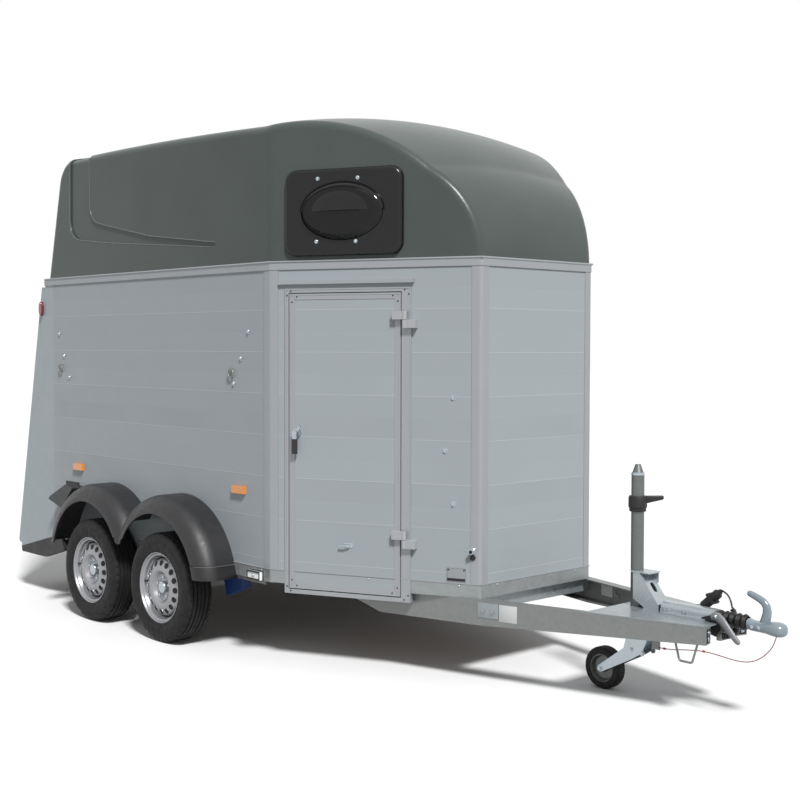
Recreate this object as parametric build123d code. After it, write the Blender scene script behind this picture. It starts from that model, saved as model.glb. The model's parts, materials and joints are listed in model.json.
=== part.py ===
"""Two-horse trailer on a tandem axle, with a groom's compartment in the angled nose.

Millimetres. X runs forward and starts at the front axle, Y runs to the left, Z runs up from the ground.
The finished pieces are moved at the end, so that the origin is at the middle of the footprint.
"""
from build123d import *
import os
from math import asin, atan2, cos, degrees, hypot, radians, sin

# Body plan: straight sides, angled panels from B to C, flat nose between C and its mirror
HALF_WIDTH = 892
HALF_NOSE = 411
CORNER_B_X = 772
NOSE_X = 1791
SIDE_REAR_X = -1505
FLOOR_REAR_X = -1895
HEADER_REAR_X = -1603
WALL_T = 26
POST_REACH = 48
POST_T = 34
POST_PROUD = 3
POST_R = 24

# Heights above the ground
CHASSIS_LOW = 385
RIM_LOW = 417
RIM_HIGH = 484
CROSS_T = 27
FLOOR_T = 21
MAT_T = 8
BAND_LOW = 2008
BAND_HIGH = 2053

RIM_PROUD = 3
RIM_T = 42
BAND_PROUD = 6
BAND_T = 40

# Hood: centre line of its crown in side view, crowned across on a large radius
HOOD_T = 6
HOOD_CROWN_R = 4200
HOOD_FRONT_MID = (1733, 2325)
HOOD_BROW = (1538, 2527)
HOOD_FORE_MID = (1270, 2725)
HOOD_FORE_TOP = (712, 2837)
HOOD_TOP_MID = (-150, 2868)
HOOD_REAR_TOP = (-1240, 2876)
HOOD_REAR_MID = (-1378, 2834)
HOOD_REAR_LIP = (-1438, 2730)
HOOD_BROW_R = 300
HOOD_CREST_R = 900
HOOD_EDGE_R = 45
HOOD_CORNER_B_R = 90
HOOD_LIP = 45
RECESS_DEEP = 10
RECESS_OUTER = ((-1278, HOOD_REAR_TOP[1] + 100), (-1285, 2289), (-798, 2237), (288, 2152))
RECESS_INNER = ((289, 2179), (-355, 2251), (-797, 2335), (-1036, 2385), (-1041, HOOD_REAR_TOP[1] + 100))
RECESS_BEND_R = 140

# Windows in the hood above the angled panels, measured along the panel from B
WINDOW_FROM = 92
WINDOW_TO = 729
WINDOW_LOW = 2072
WINDOW_HIGH = 2503
WINDOW_R = 62
WINDOW_PROUD = 26
WINDOW_REBATE = 30
DOME_HALF_LONG = 222
DOME_HALF_HIGH = 142
DOME_RISE = 34
WINDOW_T = 5

# Groom's door, measured along the angled panel from B and outwards from its face
DOOR_FRAME_FROM = 86
DOOR_FRAME_TO = 771
DOOR_FRAME_LOW = 370
DOOR_FRAME_HIGH = 1912
DOOR_JAMB = 21
DOOR_HINGE_JAMB = 50
DOOR_FRAME_PROUD = 5
DOOR_FRAME_DEPTH = 30
DOOR_GAP = 5
DOOR_PROUD = 3
DOOR_T = 28
DOOR_AXIS_S = 741
DOOR_AXIS_OUT = 22
HINGE_PIN_R = 6
HINGE_FIT = 0.3
HINGE_REACH = 62
HINGE_SPAN = 40
HINGE_LOWS = (638, 1712)
HANDLE_S = 157
HANDLE_Z = 1189

# Wheels and axles
AXLE_XS = {"front": 0, "rear": -746.5}
WHEEL_Z = 300
TYRE_R = 300
TYRE_HALF_W = 87.5
TYRE_SHOULDER_R = 34
WHEEL_Y = HALF_WIDTH + 100.5
RIM_FLANGE_R = 194
RIM_SEAT_R = 178
RIM_WELL_R = 160
RIM_HALF_W = 80
RIM_SHEET = 4
DISC_OFFSET = 28
DISC_T = 6
HUB_R = 34
DRUM_R = 124
DRUM_W = 62
HAND_HOLES = 16
HAND_HOLE_R = 11
HAND_HOLE_RING = 134
STUB_R = 17
STUB_FIT = 0.1
BEAM_SIDE = 80
BEAM_LEAD = 150
ARM_T = 28
ARM_R = 36

# Mudguards: one moulding over both wheels on each side
GUARD_Z = 320
GUARD_LIP_R = 388
GUARD_CROWN_R = 485
GUARD_LIP_Y = HALF_WIDTH + 213
GUARD_SHEET = 5
GUARD_LOW = 398
GUARD_REAR_LOW = 424
GUARD_VALLEY = (34, 498)

# Ramp, hinged at its foot, leaning forward against the slanted portal
RAMP_T = 48
RAMP_TOP = (-1610, 1996)
RAMP_FOOT = (-1956, 300)
RAMP_GAP = 6
RAMP_HALF_W = HALF_WIDTH - RAMP_GAP
RAMP_HINGE_UP = 30
PORTAL_T = 30
CURTAIN_T = 4

# Drawbar: two channel rails in a vee
VEE_REAR = (1044, -635)
VEE_FRONT = (2880, -160)
VEE_TOP = 417
VEE_BEND = 226
VEE_MIDDLE = 795
VEE_SHALLOW_Z = 376
VEE_DEEP_Z = 296
VEE_FRONT_Z = 342
VEE_FLANGE = 55
VEE_SHEET = 5

# Overrun housing, coupling and jockey wheel on the centre line
POST_X = 2400
TUBE_R = 30
TUBE_HIGH = 1037
LEG_R = 25.5
CAP_HIGH = 1081
COLLAR_LOW = 862
COLLAR_HIGH = 934
COLLAR_R = 42
BRACKET_HALF_W = 42
BRACKET_SHEET = 5
BRACKET_TOP = 590
BRACKET_NOSE = (2547, 452)
BRACKET_BROW_X = 2444
BRACKET_REAR_X = 2408
BRACKET_REAR_LOW = 462
BRACKET_FOOT_X = 2480
GUSSET_T = 6
HOUSING_REAR_X = 2560
HOUSING_LONG = 275
HOUSING_X = (HOUSING_REAR_X, HOUSING_REAR_X + HOUSING_LONG)
HOUSING_Z = 470
HOUSING_R = 38
SHAFT_R = 25
BELLOWS_LONG = 150
BELLOWS_X = (HOUSING_X[1], HOUSING_X[1] + BELLOWS_LONG)
BELLOWS_R = 36
COUPLING_BALL = (BELLOWS_X[1] + 137, 397)
COUPLING_NOSE_X = COUPLING_BALL[0] + 44
SOCKET_R = 25.2
SOCKET_DEPTH = 34
HEAD_R = 42
HEAD_TOP = 470
HEAD_DROP = 4
HEAD_ROUND = 20
JOCKEY_HUB = (2219, 100)
JOCKEY_R = 100
JOCKEY_HALF_W = 30
JOCKEY_RIM_R = 66
JOCKEY_PIN_R = 8
JOCKEY_ARM_T = 6


def block(x, y, z):
    """A box from three (low, high) pairs."""
    middle = [(low + high) / 2 for low, high in (x, y, z)]
    size = [high - low for low, high in (x, y, z)]
    return Pos(*middle) * Box(*size)


def across(face, low, high):
    """A face drawn in the X-Z plane, made solid from Y = low to Y = high."""
    return Pos(0, low, 0) * extrude(face, amount=high - low, dir=(0, 1, 0))


def side_face(*points):
    """A polygon in the X-Z plane."""
    return make_face(Polyline(*[(x, 0, z) for x, z in points], close=True))


def rod_y(x, z, radius, low, high):
    """A round bar along Y."""
    return Pos(x, (low + high) / 2, z) * Rot(90, 0, 0) * Cylinder(radius, high - low)


def rod_x(y, z, radius, low, high):
    """A round bar along X."""
    return Pos((low + high) / 2, y, z) * Rot(0, 90, 0) * Cylinder(radius, high - low)


def rod_z(x, y, radius, low, high):
    """An upright round bar."""
    return Pos(x, y, (low + high) / 2) * Cylinder(radius, high - low)


def left_of(shape):
    """The same piece on the trailer's left."""
    return mirror(shape, Plane.XZ)


def pair(shape):
    """A right-hand piece with its mirror image, as one node of separate solids."""
    return Compound([*shape.solids(), *left_of(shape).solids()])


PARTS = {}


# Plan outline and the walls that stand on it
REAR_RIGHT = (SIDE_REAR_X, -HALF_WIDTH)
CORNER_B = (CORNER_B_X, -HALF_WIDTH)
CORNER_C = (NOSE_X, -HALF_NOSE)
CORNER_D = (NOSE_X, HALF_NOSE)
PANEL_LENGTH = hypot(NOSE_X - CORNER_B_X, HALF_WIDTH - HALF_NOSE)
SIDE_LENGTH = CORNER_B_X - SIDE_REAR_X


def along(start, end):
    """Local frame of a wall: X along it, Y into the trailer, Z up from the ground."""
    return Plane(origin=(*start, 0), x_dir=(end[0] - start[0], end[1] - start[1], 0), z_dir=(0, 0, 1))


SIDE = along(REAR_RIGHT, CORNER_B).location
PANEL = along(CORNER_B, CORNER_C).location
NOSE = along(CORNER_C, CORNER_D).location


def plan(grow, rear_x, r_b=0.0, r_c=0.0):
    """The body's plan outline, grown outwards, with its corners rounded if radii are given."""
    points = [(rear_x, -HALF_WIDTH), CORNER_B, CORNER_C, CORNER_D, (CORNER_B_X, HALF_WIDTH), (rear_x, HALF_WIDTH)]
    face = make_face(Polyline(*points, close=True))
    if grow:
        face = offset(face, grow, kind=Kind.INTERSECTION)
    if r_b:
        face = fillet([v for v in face.vertices() if abs(v.X - CORNER_B_X) < 2 * POST_REACH], r_b)
    if r_c:
        face = fillet([v for v in face.vertices() if v.X > NOSE_X - 2 * POST_REACH], r_c)
    return face


def upright(face, low, high):
    """A plan face made solid between two heights."""
    return Pos(0, 0, low) * extrude(face, amount=high - low)


def ring(proud, depth, rear_x, low, high, corner_r=0.0):
    """A band round the plan: proud outside it and depth inside it."""
    outer = upright(plan(proud, rear_x, corner_r, corner_r), low, high)
    inner = upright(plan(-depth, rear_x), low, high)
    return outer - inner


wall_z = (RIM_HIGH, BAND_LOW)
side_slab = SIDE * block((0, SIDE_LENGTH - POST_REACH), (0, WALL_T), wall_z)
panel_slab = PANEL * block((POST_REACH, PANEL_LENGTH - POST_REACH), (0, WALL_T), wall_z)
nose_slab = NOSE * block((POST_REACH, 2 * HALF_NOSE - POST_REACH), (0, WALL_T), wall_z)

door_cut = PANEL * block(
    (DOOR_FRAME_FROM, DOOR_FRAME_TO), (-2 * RIM_T, DOOR_FRAME_DEPTH), (DOOR_FRAME_LOW, DOOR_FRAME_HIGH)
)
panel_wall = panel_slab - door_cut
PARTS["side_walls"] = pair(side_slab)
PARTS["angled_walls"] = Compound([panel_wall.solid(), left_of(panel_slab).solid()])
PARTS["nose_wall"] = nose_slab

# Corner posts fill the corners between the wall slabs
post_ring = ring(POST_PROUD, POST_T, SIDE_REAR_X, *wall_z, corner_r=POST_R)
posts = []
for corner in (CORNER_B, CORNER_C):
    post = post_ring & rod_z(*corner, 2 * POST_REACH, *wall_z)
    for frame, length in ((SIDE, SIDE_LENGTH), (PANEL, PANEL_LENGTH), (NOSE, 2 * HALF_NOSE)):
        start = -500 if frame is SIDE else POST_REACH
        post = post - frame * block((start, length - POST_REACH), (-2 * POST_T, 2 * POST_T), wall_z)
    posts.append(max(post.solids(), key=lambda s: s.volume))
corner_posts = Compound(posts)
PARTS["corner_posts"] = pair(corner_posts)

# Trim band under the hood and galvanised rim under the walls
PARTS["trim_band"] = ring(BAND_PROUD, BAND_T, HEADER_REAR_X, BAND_LOW, BAND_HIGH, POST_R)
rim = ring(RIM_PROUD, RIM_T, FLOOR_REAR_X, RIM_LOW, RIM_HIGH, POST_R)
PORTAL_FOOT_X = SIDE_REAR_X + 73
rim = rim - block((FLOOR_REAR_X - 100, PORTAL_FOOT_X), (-2 * HALF_WIDTH, 2 * HALF_WIDTH), (RIM_LOW, RIM_HIGH))
PARTS["base_rim"] = rim - door_cut

# Floor: cross members under a ply panel with a rubber mat on it
cross_z = (RIM_LOW, RIM_LOW + CROSS_T)
floor_z = (cross_z[1], cross_z[1] + FLOOR_T)
mat_z = (floor_z[1], floor_z[1] + MAT_T)
FLOOR_INSET = RIM_T
PARTS["floor_panel"] = upright(plan(-FLOOR_INSET, FLOOR_REAR_X), *floor_z)
PARTITION_POST_X = 560
PARTITION_POST_R = 26
floor_mat = upright(plan(-FLOOR_INSET - 10, FLOOR_REAR_X), *mat_z)
PARTS["floor_mat"] = floor_mat - rod_z(PARTITION_POST_X, 0, PARTITION_POST_R + 0.5, *mat_z)
CHASSIS_RAIL_W = 60
CHASSIS_SHEET = 5
CROSS_XS = (-1820, -1250, -680, -110, 460)
CROSS_W = 60
chassis_y = (-HALF_WIDTH + RIM_T, -HALF_WIDTH + RIM_T + CHASSIS_RAIL_W)
cross_half = -chassis_y[1]
cross_members = [block((x - CROSS_W / 2, x + CROSS_W / 2), (-cross_half, cross_half), cross_z) for x in CROSS_XS]
rail_front = CORNER_B_X - 2 * POST_REACH
chassis_rail = block((FLOOR_REAR_X + 5, rail_front), chassis_y, (CHASSIS_LOW, cross_z[1]))
chassis_rail = chassis_rail - block(
    (FLOOR_REAR_X, rail_front + 1),
    (chassis_y[0] + CHASSIS_SHEET, chassis_y[1] - CHASSIS_SHEET),
    (CHASSIS_LOW - 1, cross_z[1] - CHASSIS_SHEET),
)
chassis = chassis_rail + left_of(chassis_rail)
PARTS["chassis_frame"] = chassis + cross_members

# Drawbar rails: deep under the nose, open inwards, meeting the chassis rails at the rear
vee_run = (VEE_FRONT[0] - VEE_REAR[0], VEE_FRONT[1] - VEE_REAR[1])
vee_length = hypot(*vee_run)
vee_slope = vee_run[1] / vee_run[0]
VEE = along(VEE_REAR, VEE_FRONT).location
vee_tail = -(VEE_REAR[1] - chassis_y[1]) / (vee_run[1] / vee_length)
vee_side = side_face(
    (vee_tail, VEE_TOP),
    (vee_tail, VEE_SHALLOW_Z),
    (0, VEE_SHALLOW_Z),
    (VEE_BEND, VEE_DEEP_Z),
    (VEE_MIDDLE, VEE_DEEP_Z),
    (vee_length, VEE_FRONT_Z),
    (vee_length, VEE_TOP),
)
vee_bar = across(vee_side, 0, VEE_FLANGE)
vee_pocket = across(offset(vee_side, -VEE_SHEET, kind=Kind.INTERSECTION), VEE_SHEET, 2 * VEE_FLANGE)
vee_rail = VEE * (vee_bar - vee_pocket)
vee_rail = vee_rail - block((FLOOR_REAR_X, VEE_FRONT[0]), (-2 * HALF_WIDTH, chassis_y[1]), (0, 2 * VEE_TOP))
PARTS["drawbar_rails"] = pair(vee_rail)


def vee_y(x):
    """Half width of the drawbar, outside its rails, at x."""
    return -(VEE_REAR[1] + (x - VEE_REAR[0]) * vee_slope)


# Gusset plate across the rails round the jockey post, and the cross tie under the nose
GUSSET_X = (POST_X - 70, VEE_FRONT[0] - 10)
gusset_low = VEE_TOP
gusset_plan = make_face(
    Polyline(
        (GUSSET_X[0], -vee_y(GUSSET_X[0]) + 8),
        (GUSSET_X[1], -vee_y(GUSSET_X[1]) + 8),
        (GUSSET_X[1], vee_y(GUSSET_X[1]) - 8),
        (GUSSET_X[0], vee_y(GUSSET_X[0]) - 8),
        close=True,
    )
)
gusset = upright(gusset_plan, gusset_low, gusset_low + GUSSET_T) - rod_z(
    POST_X, 0, TUBE_R + 1, gusset_low, gusset_low + GUSSET_T
)
TIE_X = (1700, 1760)
TIE_DEEP = 70
web = VEE_SHEET * vee_length / vee_run[0]
tie_plan = make_face(
    Polyline(
        (TIE_X[0], web - vee_y(TIE_X[0])),
        (TIE_X[1], web - vee_y(TIE_X[1])),
        (TIE_X[1], vee_y(TIE_X[1]) - web),
        (TIE_X[0], vee_y(TIE_X[0]) - web),
        close=True,
    )
)
drawbar_tie = upright(tie_plan, VEE_TOP - TIE_DEEP, VEE_TOP - VEE_SHEET)

# Rubber-sprung axles: a square beam with a trailing arm and a stub at each end
beam_z = (CHASSIS_LOW - BEAM_SIDE, CHASSIS_LOW)
beam_half = -chassis_y[0] + 5
stub_inner = beam_half
stub_outer = WHEEL_Y + DISC_OFFSET - DISC_T


def axle(x):
    """One axle: beam, two trailing arms and two stubs."""
    beam_x = x + BEAM_LEAD
    beam = block((beam_x - BEAM_SIDE / 2, beam_x + BEAM_SIDE / 2), (-beam_half, beam_half), beam_z)
    beam_mid = (beam_z[0] + beam_z[1]) / 2
    run = hypot(BEAM_LEAD, beam_mid - WHEEL_Z)
    tilt = degrees(atan2(beam_mid - WHEEL_Z, BEAM_LEAD))
    arm_y = -(beam_half + ARM_T / 2)
    arm = Pos(x, arm_y, WHEEL_Z) * Rot(0, -tilt, 0) * Rot(90, 0, 0) * extrude(
        SlotCenterToCenter(run, 2 * ARM_R), amount=ARM_T / 2, both=True
    )
    arm = Pos(BEAM_LEAD / 2, 0, (beam_mid - WHEEL_Z) / 2) * arm
    stub = rod_y(x, WHEEL_Z, STUB_R, -stub_outer, -stub_inner)
    end = arm + stub
    return beam + end + left_of(end)


PARTS["axles"] = Compound([axle(x).solid() for x in AXLE_XS.values()])


# Wheels, drawn as half sections round the Y axis and spun
def spin_y(points, x, y, z):
    """A closed outline of (radius, y) points turned round an axis along Y."""
    face = make_face(Polyline(*[(radius, along_y, 0) for radius, along_y in points], close=True))
    return Pos(x, y, z) * revolve(face, Axis.Y)


def tyre():
    """Tyre with rounded shoulders and a bead at each side."""
    outline = make_face(
        Polyline(
            (RIM_SEAT_R, -RIM_HALF_W + 12),
            (RIM_FLANGE_R + 6, -RIM_HALF_W + 4),
            (RIM_FLANGE_R + 50, -TYRE_HALF_W),
            (TYRE_R - TYRE_SHOULDER_R, -TYRE_HALF_W + 6),
            (TYRE_R, -TYRE_HALF_W + 20),
            (TYRE_R, TYRE_HALF_W - 20),
            (TYRE_R - TYRE_SHOULDER_R, TYRE_HALF_W - 6),
            (RIM_FLANGE_R + 50, TYRE_HALF_W),
            (RIM_FLANGE_R + 6, RIM_HALF_W - 4),
            (RIM_SEAT_R, RIM_HALF_W - 12),
            close=True,
        )
    )
    return revolve(outline, Axis.Y)


def road_wheel():
    """Steel rim with its dished disc, hub and drum; the outside of the wheel is at -Y."""
    barrel = [
        (RIM_FLANGE_R, -RIM_HALF_W),
        (RIM_FLANGE_R, -RIM_HALF_W + 5),
        (RIM_SEAT_R - 1, -RIM_HALF_W + 10),
        (RIM_SEAT_R - 1, -30),
        (RIM_WELL_R + RIM_SHEET, -20),
        (RIM_WELL_R + RIM_SHEET, 30),
        (RIM_SEAT_R - 1, 42),
        (RIM_SEAT_R - 1, RIM_HALF_W - 10),
        (RIM_FLANGE_R, RIM_HALF_W - 5),
        (RIM_FLANGE_R, RIM_HALF_W),
        (RIM_SEAT_R - 8, RIM_HALF_W - 2),
        (RIM_SEAT_R - 8, 46),
        (RIM_WELL_R, 34),
        (RIM_WELL_R, -24),
        (RIM_SEAT_R - 8, -34),
        (RIM_SEAT_R - 8, -RIM_HALF_W + 2),
    ]
    face_y = -DISC_OFFSET
    disc = [
        (STUB_R + 8, face_y),
        (68, face_y),
        (88, face_y - 26),
        (112, face_y - 30),
        (146, face_y - 10),
        (RIM_WELL_R + 1, face_y + 10),
        (RIM_WELL_R + 1, face_y + 18),
        (142, face_y - 2),
        (112, face_y - 22),
        (92, face_y - 18),
        (74, face_y + DISC_T),
        (STUB_R + 8, face_y + DISC_T),
    ]
    wheel = spin_y(barrel, 0, 0, 0) + spin_y(disc, 0, 0, 0)
    holes = [
        Rot(0, 360 / HAND_HOLES * i, 0) * rod_y(HAND_HOLE_RING, 0, HAND_HOLE_R, face_y - 40, face_y + 20)
        for i in range(HAND_HOLES)
    ]
    wheel = wheel - holes
    drum_y = face_y + DISC_T
    drum = rod_y(0, 0, DRUM_R, drum_y, drum_y + DRUM_W)
    cap = rod_y(0, 0, HUB_R, face_y - 22, drum_y)
    bore_end = -(stub_outer - WHEEL_Y) - 2
    wheel = wheel + drum + cap
    return wheel - rod_y(0, 0, STUB_R + STUB_FIT, bore_end, drum_y + DRUM_W + 1)


TYRE = tyre()
ROAD_WHEEL = road_wheel()
for axle_name, axle_x in AXLE_XS.items():
    at = Pos(axle_x, -WHEEL_Y, WHEEL_Z)
    PARTS[f"tyre_{axle_name}_right"] = at * TYRE
    PARTS[f"wheel_{axle_name}_right"] = at * ROAD_WHEEL
    PARTS[f"tyre_{axle_name}_left"] = left_of(at * TYRE)
    PARTS[f"wheel_{axle_name}_left"] = left_of(at * ROAD_WHEEL)


# Mudguard: a crowned tunnel over both wheels, turned round each axle and trimmed at the valley
def guard_dome(x, sheet):
    """Half of the moulding over one wheel, thinned by sheet; the lip is at its outer edge."""
    shoulder = GUARD_CROWN_R - GUARD_LIP_R
    inner_y = -HALF_WIDTH
    outer_y = -GUARD_LIP_Y + sheet
    crown = GUARD_CROWN_R - sheet
    lip = GUARD_LIP_R
    profile = make_face(
        Polyline((0, inner_y, 0), (crown, inner_y, 0), (crown, outer_y + shoulder, 0))
        + RadiusArc((crown, outer_y + shoulder, 0), (lip, outer_y, 0), shoulder + 3)
        + Polyline((lip, outer_y, 0), (0, outer_y, 0), (0, inner_y, 0))
    )
    return Pos(x, 0, GUARD_Z) * revolve(profile, Axis.Y)


def mudguard():
    """The right-hand mudguard, open below and on the wheels' outside."""
    front_x = AXLE_XS["front"]
    rear_x = AXLE_XS["rear"]
    valley_x = (front_x + rear_x) / 2
    reach_x = (rear_x - 2 * GUARD_CROWN_R, front_x + 2 * GUARD_CROWN_R)
    reach_y = (-2 * HALF_WIDTH, -HALF_WIDTH)
    reach_z = (0, GUARD_Z + 2 * GUARD_CROWN_R)
    trim = block(reach_x, reach_y, (GUARD_LOW, reach_z[1]))
    trim = trim - block((reach_x[0], valley_x), reach_y, (0, GUARD_REAR_LOW))
    outer = (guard_dome(front_x, 0) + guard_dome(rear_x, 0)) & trim
    inner = guard_dome(front_x, GUARD_SHEET) + guard_dome(rear_x, GUARD_SHEET)
    shell = outer - Pos(0, GUARD_SHEET, 0) * inner
    for x in (front_x, rear_x):
        shell = shell - rod_y(x, GUARD_Z, GUARD_LIP_R, -2 * HALF_WIDTH, -HALF_WIDTH - 1)
    tip_r, tip_low = GUARD_VALLEY
    below_tip = block((valley_x - 3 * tip_r, valley_x + 3 * tip_r), reach_y, (0, tip_low + tip_r))
    below_tip = below_tip - rod_y(valley_x, tip_low + tip_r, tip_r, *reach_y)
    return (shell - below_tip) & block(reach_x, reach_y, reach_z)


PARTS["mudguards"] = pair(mudguard() - PARTS["base_rim"])


# Hood: straight sides carried up into a crowned roof that runs down over the nose
def hood_profile(inset):
    """Side view of the crown, shrunk by inset; it runs on below the band, where the hood is cut off."""
    below = BAND_HIGH - 4 * HOOD_LIP
    lean = (HOOD_REAR_LIP[0] - HEADER_REAR_X) / (HOOD_REAR_LIP[1] - BAND_HIGH)
    foot = (HEADER_REAR_X + lean * (below - BAND_HIGH), below)
    outline = (
        Line((*foot, 0), (*HOOD_REAR_LIP, 0))
        + ThreePointArc((*HOOD_REAR_LIP, 0), (*HOOD_REAR_MID, 0), (*HOOD_REAR_TOP, 0))
        + ThreePointArc((*HOOD_REAR_TOP, 0), (*HOOD_TOP_MID, 0), (*HOOD_FORE_TOP, 0))
        + ThreePointArc((*HOOD_FORE_TOP, 0), (*HOOD_FORE_MID, 0), (*HOOD_BROW, 0))
        + TangentArc((NOSE_X, BAND_HIGH, 0), (*HOOD_BROW, 0), tangent=(0, 1, 0))
        + Line((NOSE_X, BAND_HIGH, 0), (NOSE_X, below, 0))
        + Line((NOSE_X, below, 0), (*foot, 0))
    )
    face = make_face(outline)
    for corner, radius in ((HOOD_BROW, HOOD_BROW_R), (HOOD_FORE_TOP, HOOD_CREST_R)):
        face = fillet([v for v in face.vertices() if hypot(v.X - corner[0], v.Y - corner[1]) < 1], radius)
    if inset:
        face = offset(face, -inset, kind=Kind.INTERSECTION)
    return face


def hood_body(inset):
    """The hood's outer form, or the same form shrunk by inset."""
    axis_z = HOOD_REAR_TOP[1] - HOOD_CROWN_R
    half_turn = degrees(asin(HALF_WIDTH / (BAND_HIGH - axis_z))) + 2
    crown = revolve(Rot(90 - half_turn, 0, 0) * Pos(0, -axis_z, 0) * hood_profile(inset), Axis.X, 2 * half_turn)
    past_nose = NOSE_X + HALF_NOSE / 4
    past_y = HALF_NOSE - HALF_NOSE / 4 * (HALF_WIDTH - HALF_NOSE) / (NOSE_X - CORNER_B_X)
    behind_x = HEADER_REAR_X - 100
    corners = [(behind_x, -HALF_WIDTH), CORNER_B, (past_nose, -past_y)]
    sides = make_face(Polyline(*corners, *[(x, -y) for x, y in reversed(corners)], close=True))
    if inset:
        sides = offset(sides, -inset, kind=Kind.INTERSECTION)
    body = Pos(0, 0, axis_z) * crown & upright(sides, BAND_HIGH - 2 * HOOD_LIP, HOOD_REAR_TOP[1] + 100)

    near = 3 * HOOD_T

    def near_b(edge):
        ends = (edge @ 0, edge @ 1)
        return all(abs(abs(end.Y) - HALF_WIDTH) < near and abs(end.X - CORNER_B_X) < near for end in ends)

    def on_shoulder(edge):
        middle = edge @ 0.5
        upright_edge = edge.geom_type == GeomType.LINE and middle.X < CORNER_B_X + 3 * near
        above_foot = middle.Z > BAND_HIGH - 1.5 * HOOD_LIP and middle.X > HOOD_REAR_LIP[0]
        return abs(middle.Y) > HALF_NOSE * 0.75 and above_foot and not upright_edge

    body = fillet([e for e in body.edges() if near_b(e) and e.length > HOOD_LIP], HOOD_CORNER_B_R - inset)
    body = fillet([e for e in body.edges() if on_shoulder(e)], HOOD_EDGE_R - inset)
    kept_y = HALF_WIDTH + near
    return body & block((behind_x, NOSE_X + near), (-kept_y, kept_y), (BAND_HIGH, HOOD_REAR_TOP[1] + 100))


def recess_prism(grow):
    """The swept recess in the hood's sides and across its rear, as a solid right through."""
    face = side_face(*RECESS_OUTER, *RECESS_INNER)
    bends = [v for v in face.vertices() if v.X < RECESS_INNER[3][0] + 5 and v.Z < RECESS_INNER[3][1] + 5]
    face = fillet(bends, RECESS_BEND_R)
    if grow:
        face = offset(face, grow, kind=Kind.INTERSECTION)
    return across(face, -2 * HALF_WIDTH, 2 * HALF_WIDTH)


def panel_plate(outline, low, high):
    """A plate drawn on the angled panel (along, up), solid from low to high outwards from its face."""
    return PANEL * across(outline, -high, -low)


def window_outline(inset):
    """The window frame's rounded outline, shrunk by inset."""
    width = WINDOW_TO - WINDOW_FROM - 2 * inset
    height = WINDOW_HIGH - WINDOW_LOW - 2 * inset
    centre = ((WINDOW_FROM + WINDOW_TO) / 2, (WINDOW_LOW + WINDOW_HIGH) / 2)
    return Pos(centre[0], 0, centre[1]) * Rot(90, 0, 0) * RectangleRounded(width, height, WINDOW_R - inset)


hood_outside = hood_body(0) - (recess_prism(0) - hood_body(RECESS_DEEP))
hood_inside = hood_body(HOOD_T) - (recess_prism(HOOD_T) - hood_body(RECESS_DEEP + HOOD_T))
hood = hood_outside - hood_inside
curtain_half = HALF_WIDTH - HOOD_LIP
curtain_high = HOOD_REAR_LIP[1] - HOOD_LIP
hood = hood - block(
    (HEADER_REAR_X - 50, HOOD_REAR_LIP[0] + 30), (-curtain_half, curtain_half), (BAND_HIGH - 1, curtain_high)
)
window_hole = panel_plate(window_outline(WINDOW_REBATE), -3 * WINDOW_PROUD, WINDOW_PROUD)
hood = hood - window_hole - left_of(window_hole)
PARTS["hood"] = hood

# Hood windows: a moulded frame hooked through the hole, with a domed pane in its oval
dome_centre = ((WINDOW_FROM + WINDOW_TO) / 2, (WINDOW_LOW + WINDOW_HIGH) / 2)
WINDOW_BORDER = 30
WINDOW_ROLL_R = 22
WINDOW_FLANGE_DEEP = 20


def oval(grow):
    """The window's oval in the panel plane."""
    shape = Ellipse(DOME_HALF_LONG + grow, DOME_HALF_HIGH + grow)
    return Pos(dome_centre[0], 0, dome_centre[1]) * Rot(90, 0, 0) * shape


frame_plate = across(window_outline(0), -WINDOW_BORDER, 0)
frame_plate = PANEL * fillet(frame_plate.faces().sort_by(Axis.Y)[0].edges(), WINDOW_ROLL_R)
frame_hook = panel_plate(window_outline(WINDOW_REBATE), -WINDOW_FLANGE_DEEP, 0)
frame_hollow = panel_plate(window_outline(WINDOW_REBATE + WINDOW_T), -WINDOW_FLANGE_DEEP - 1, WINDOW_BORDER - WINDOW_T)
frame_oval = panel_plate(oval(0), -WINDOW_FLANGE_DEEP - 1, WINDOW_BORDER + 1)
window_frame = frame_plate + frame_hook - frame_hollow - frame_oval
PARTS["window_frames"] = pair(window_frame)
dome_base = Plane(origin=(dome_centre[0], -(WINDOW_BORDER - WINDOW_T), dome_centre[1]), x_dir=(1, 0, 0), z_dir=(0, -1, 0))
dome_skin = dome_base * extrude(Ellipse(DOME_HALF_LONG, DOME_HALF_HIGH), amount=DOME_RISE, taper=38)
dome_hollow = dome_base * extrude(
    Ellipse(DOME_HALF_LONG - 2 * WINDOW_T, DOME_HALF_HIGH - 2 * WINDOW_T), amount=DOME_RISE - WINDOW_T, taper=38
)
PARTS["window_panes"] = pair(PANEL * (dome_skin - dome_hollow))

# Curtain across the hood's open rear, just inside its skin
CURTAIN_GAP = 1
CURTAIN_LAP = 15
curtain_out = hood_body(HOOD_T + CURTAIN_GAP)
curtain_in = hood_body(HOOD_T + CURTAIN_GAP + CURTAIN_T)
curtain_reach = curtain_half + CURTAIN_LAP
PARTS["rear_curtain"] = (curtain_out - curtain_in) & block(
    (HEADER_REAR_X, HOOD_REAR_LIP[0] + 30),
    (-curtain_reach, curtain_reach),
    (BAND_HIGH + CURTAIN_GAP, curtain_high + CURTAIN_LAP),
)


# Rear portal: slanted plates that carry the ramp's sides, and the ramp itself
def ramp_line(z):
    """The slanted line between portal and ramp at height z."""
    slope = (RAMP_TOP[0] - RAMP_FOOT[0]) / (RAMP_TOP[1] - RAMP_FOOT[1])
    return RAMP_TOP[0] + slope * (z - RAMP_TOP[1])


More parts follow.
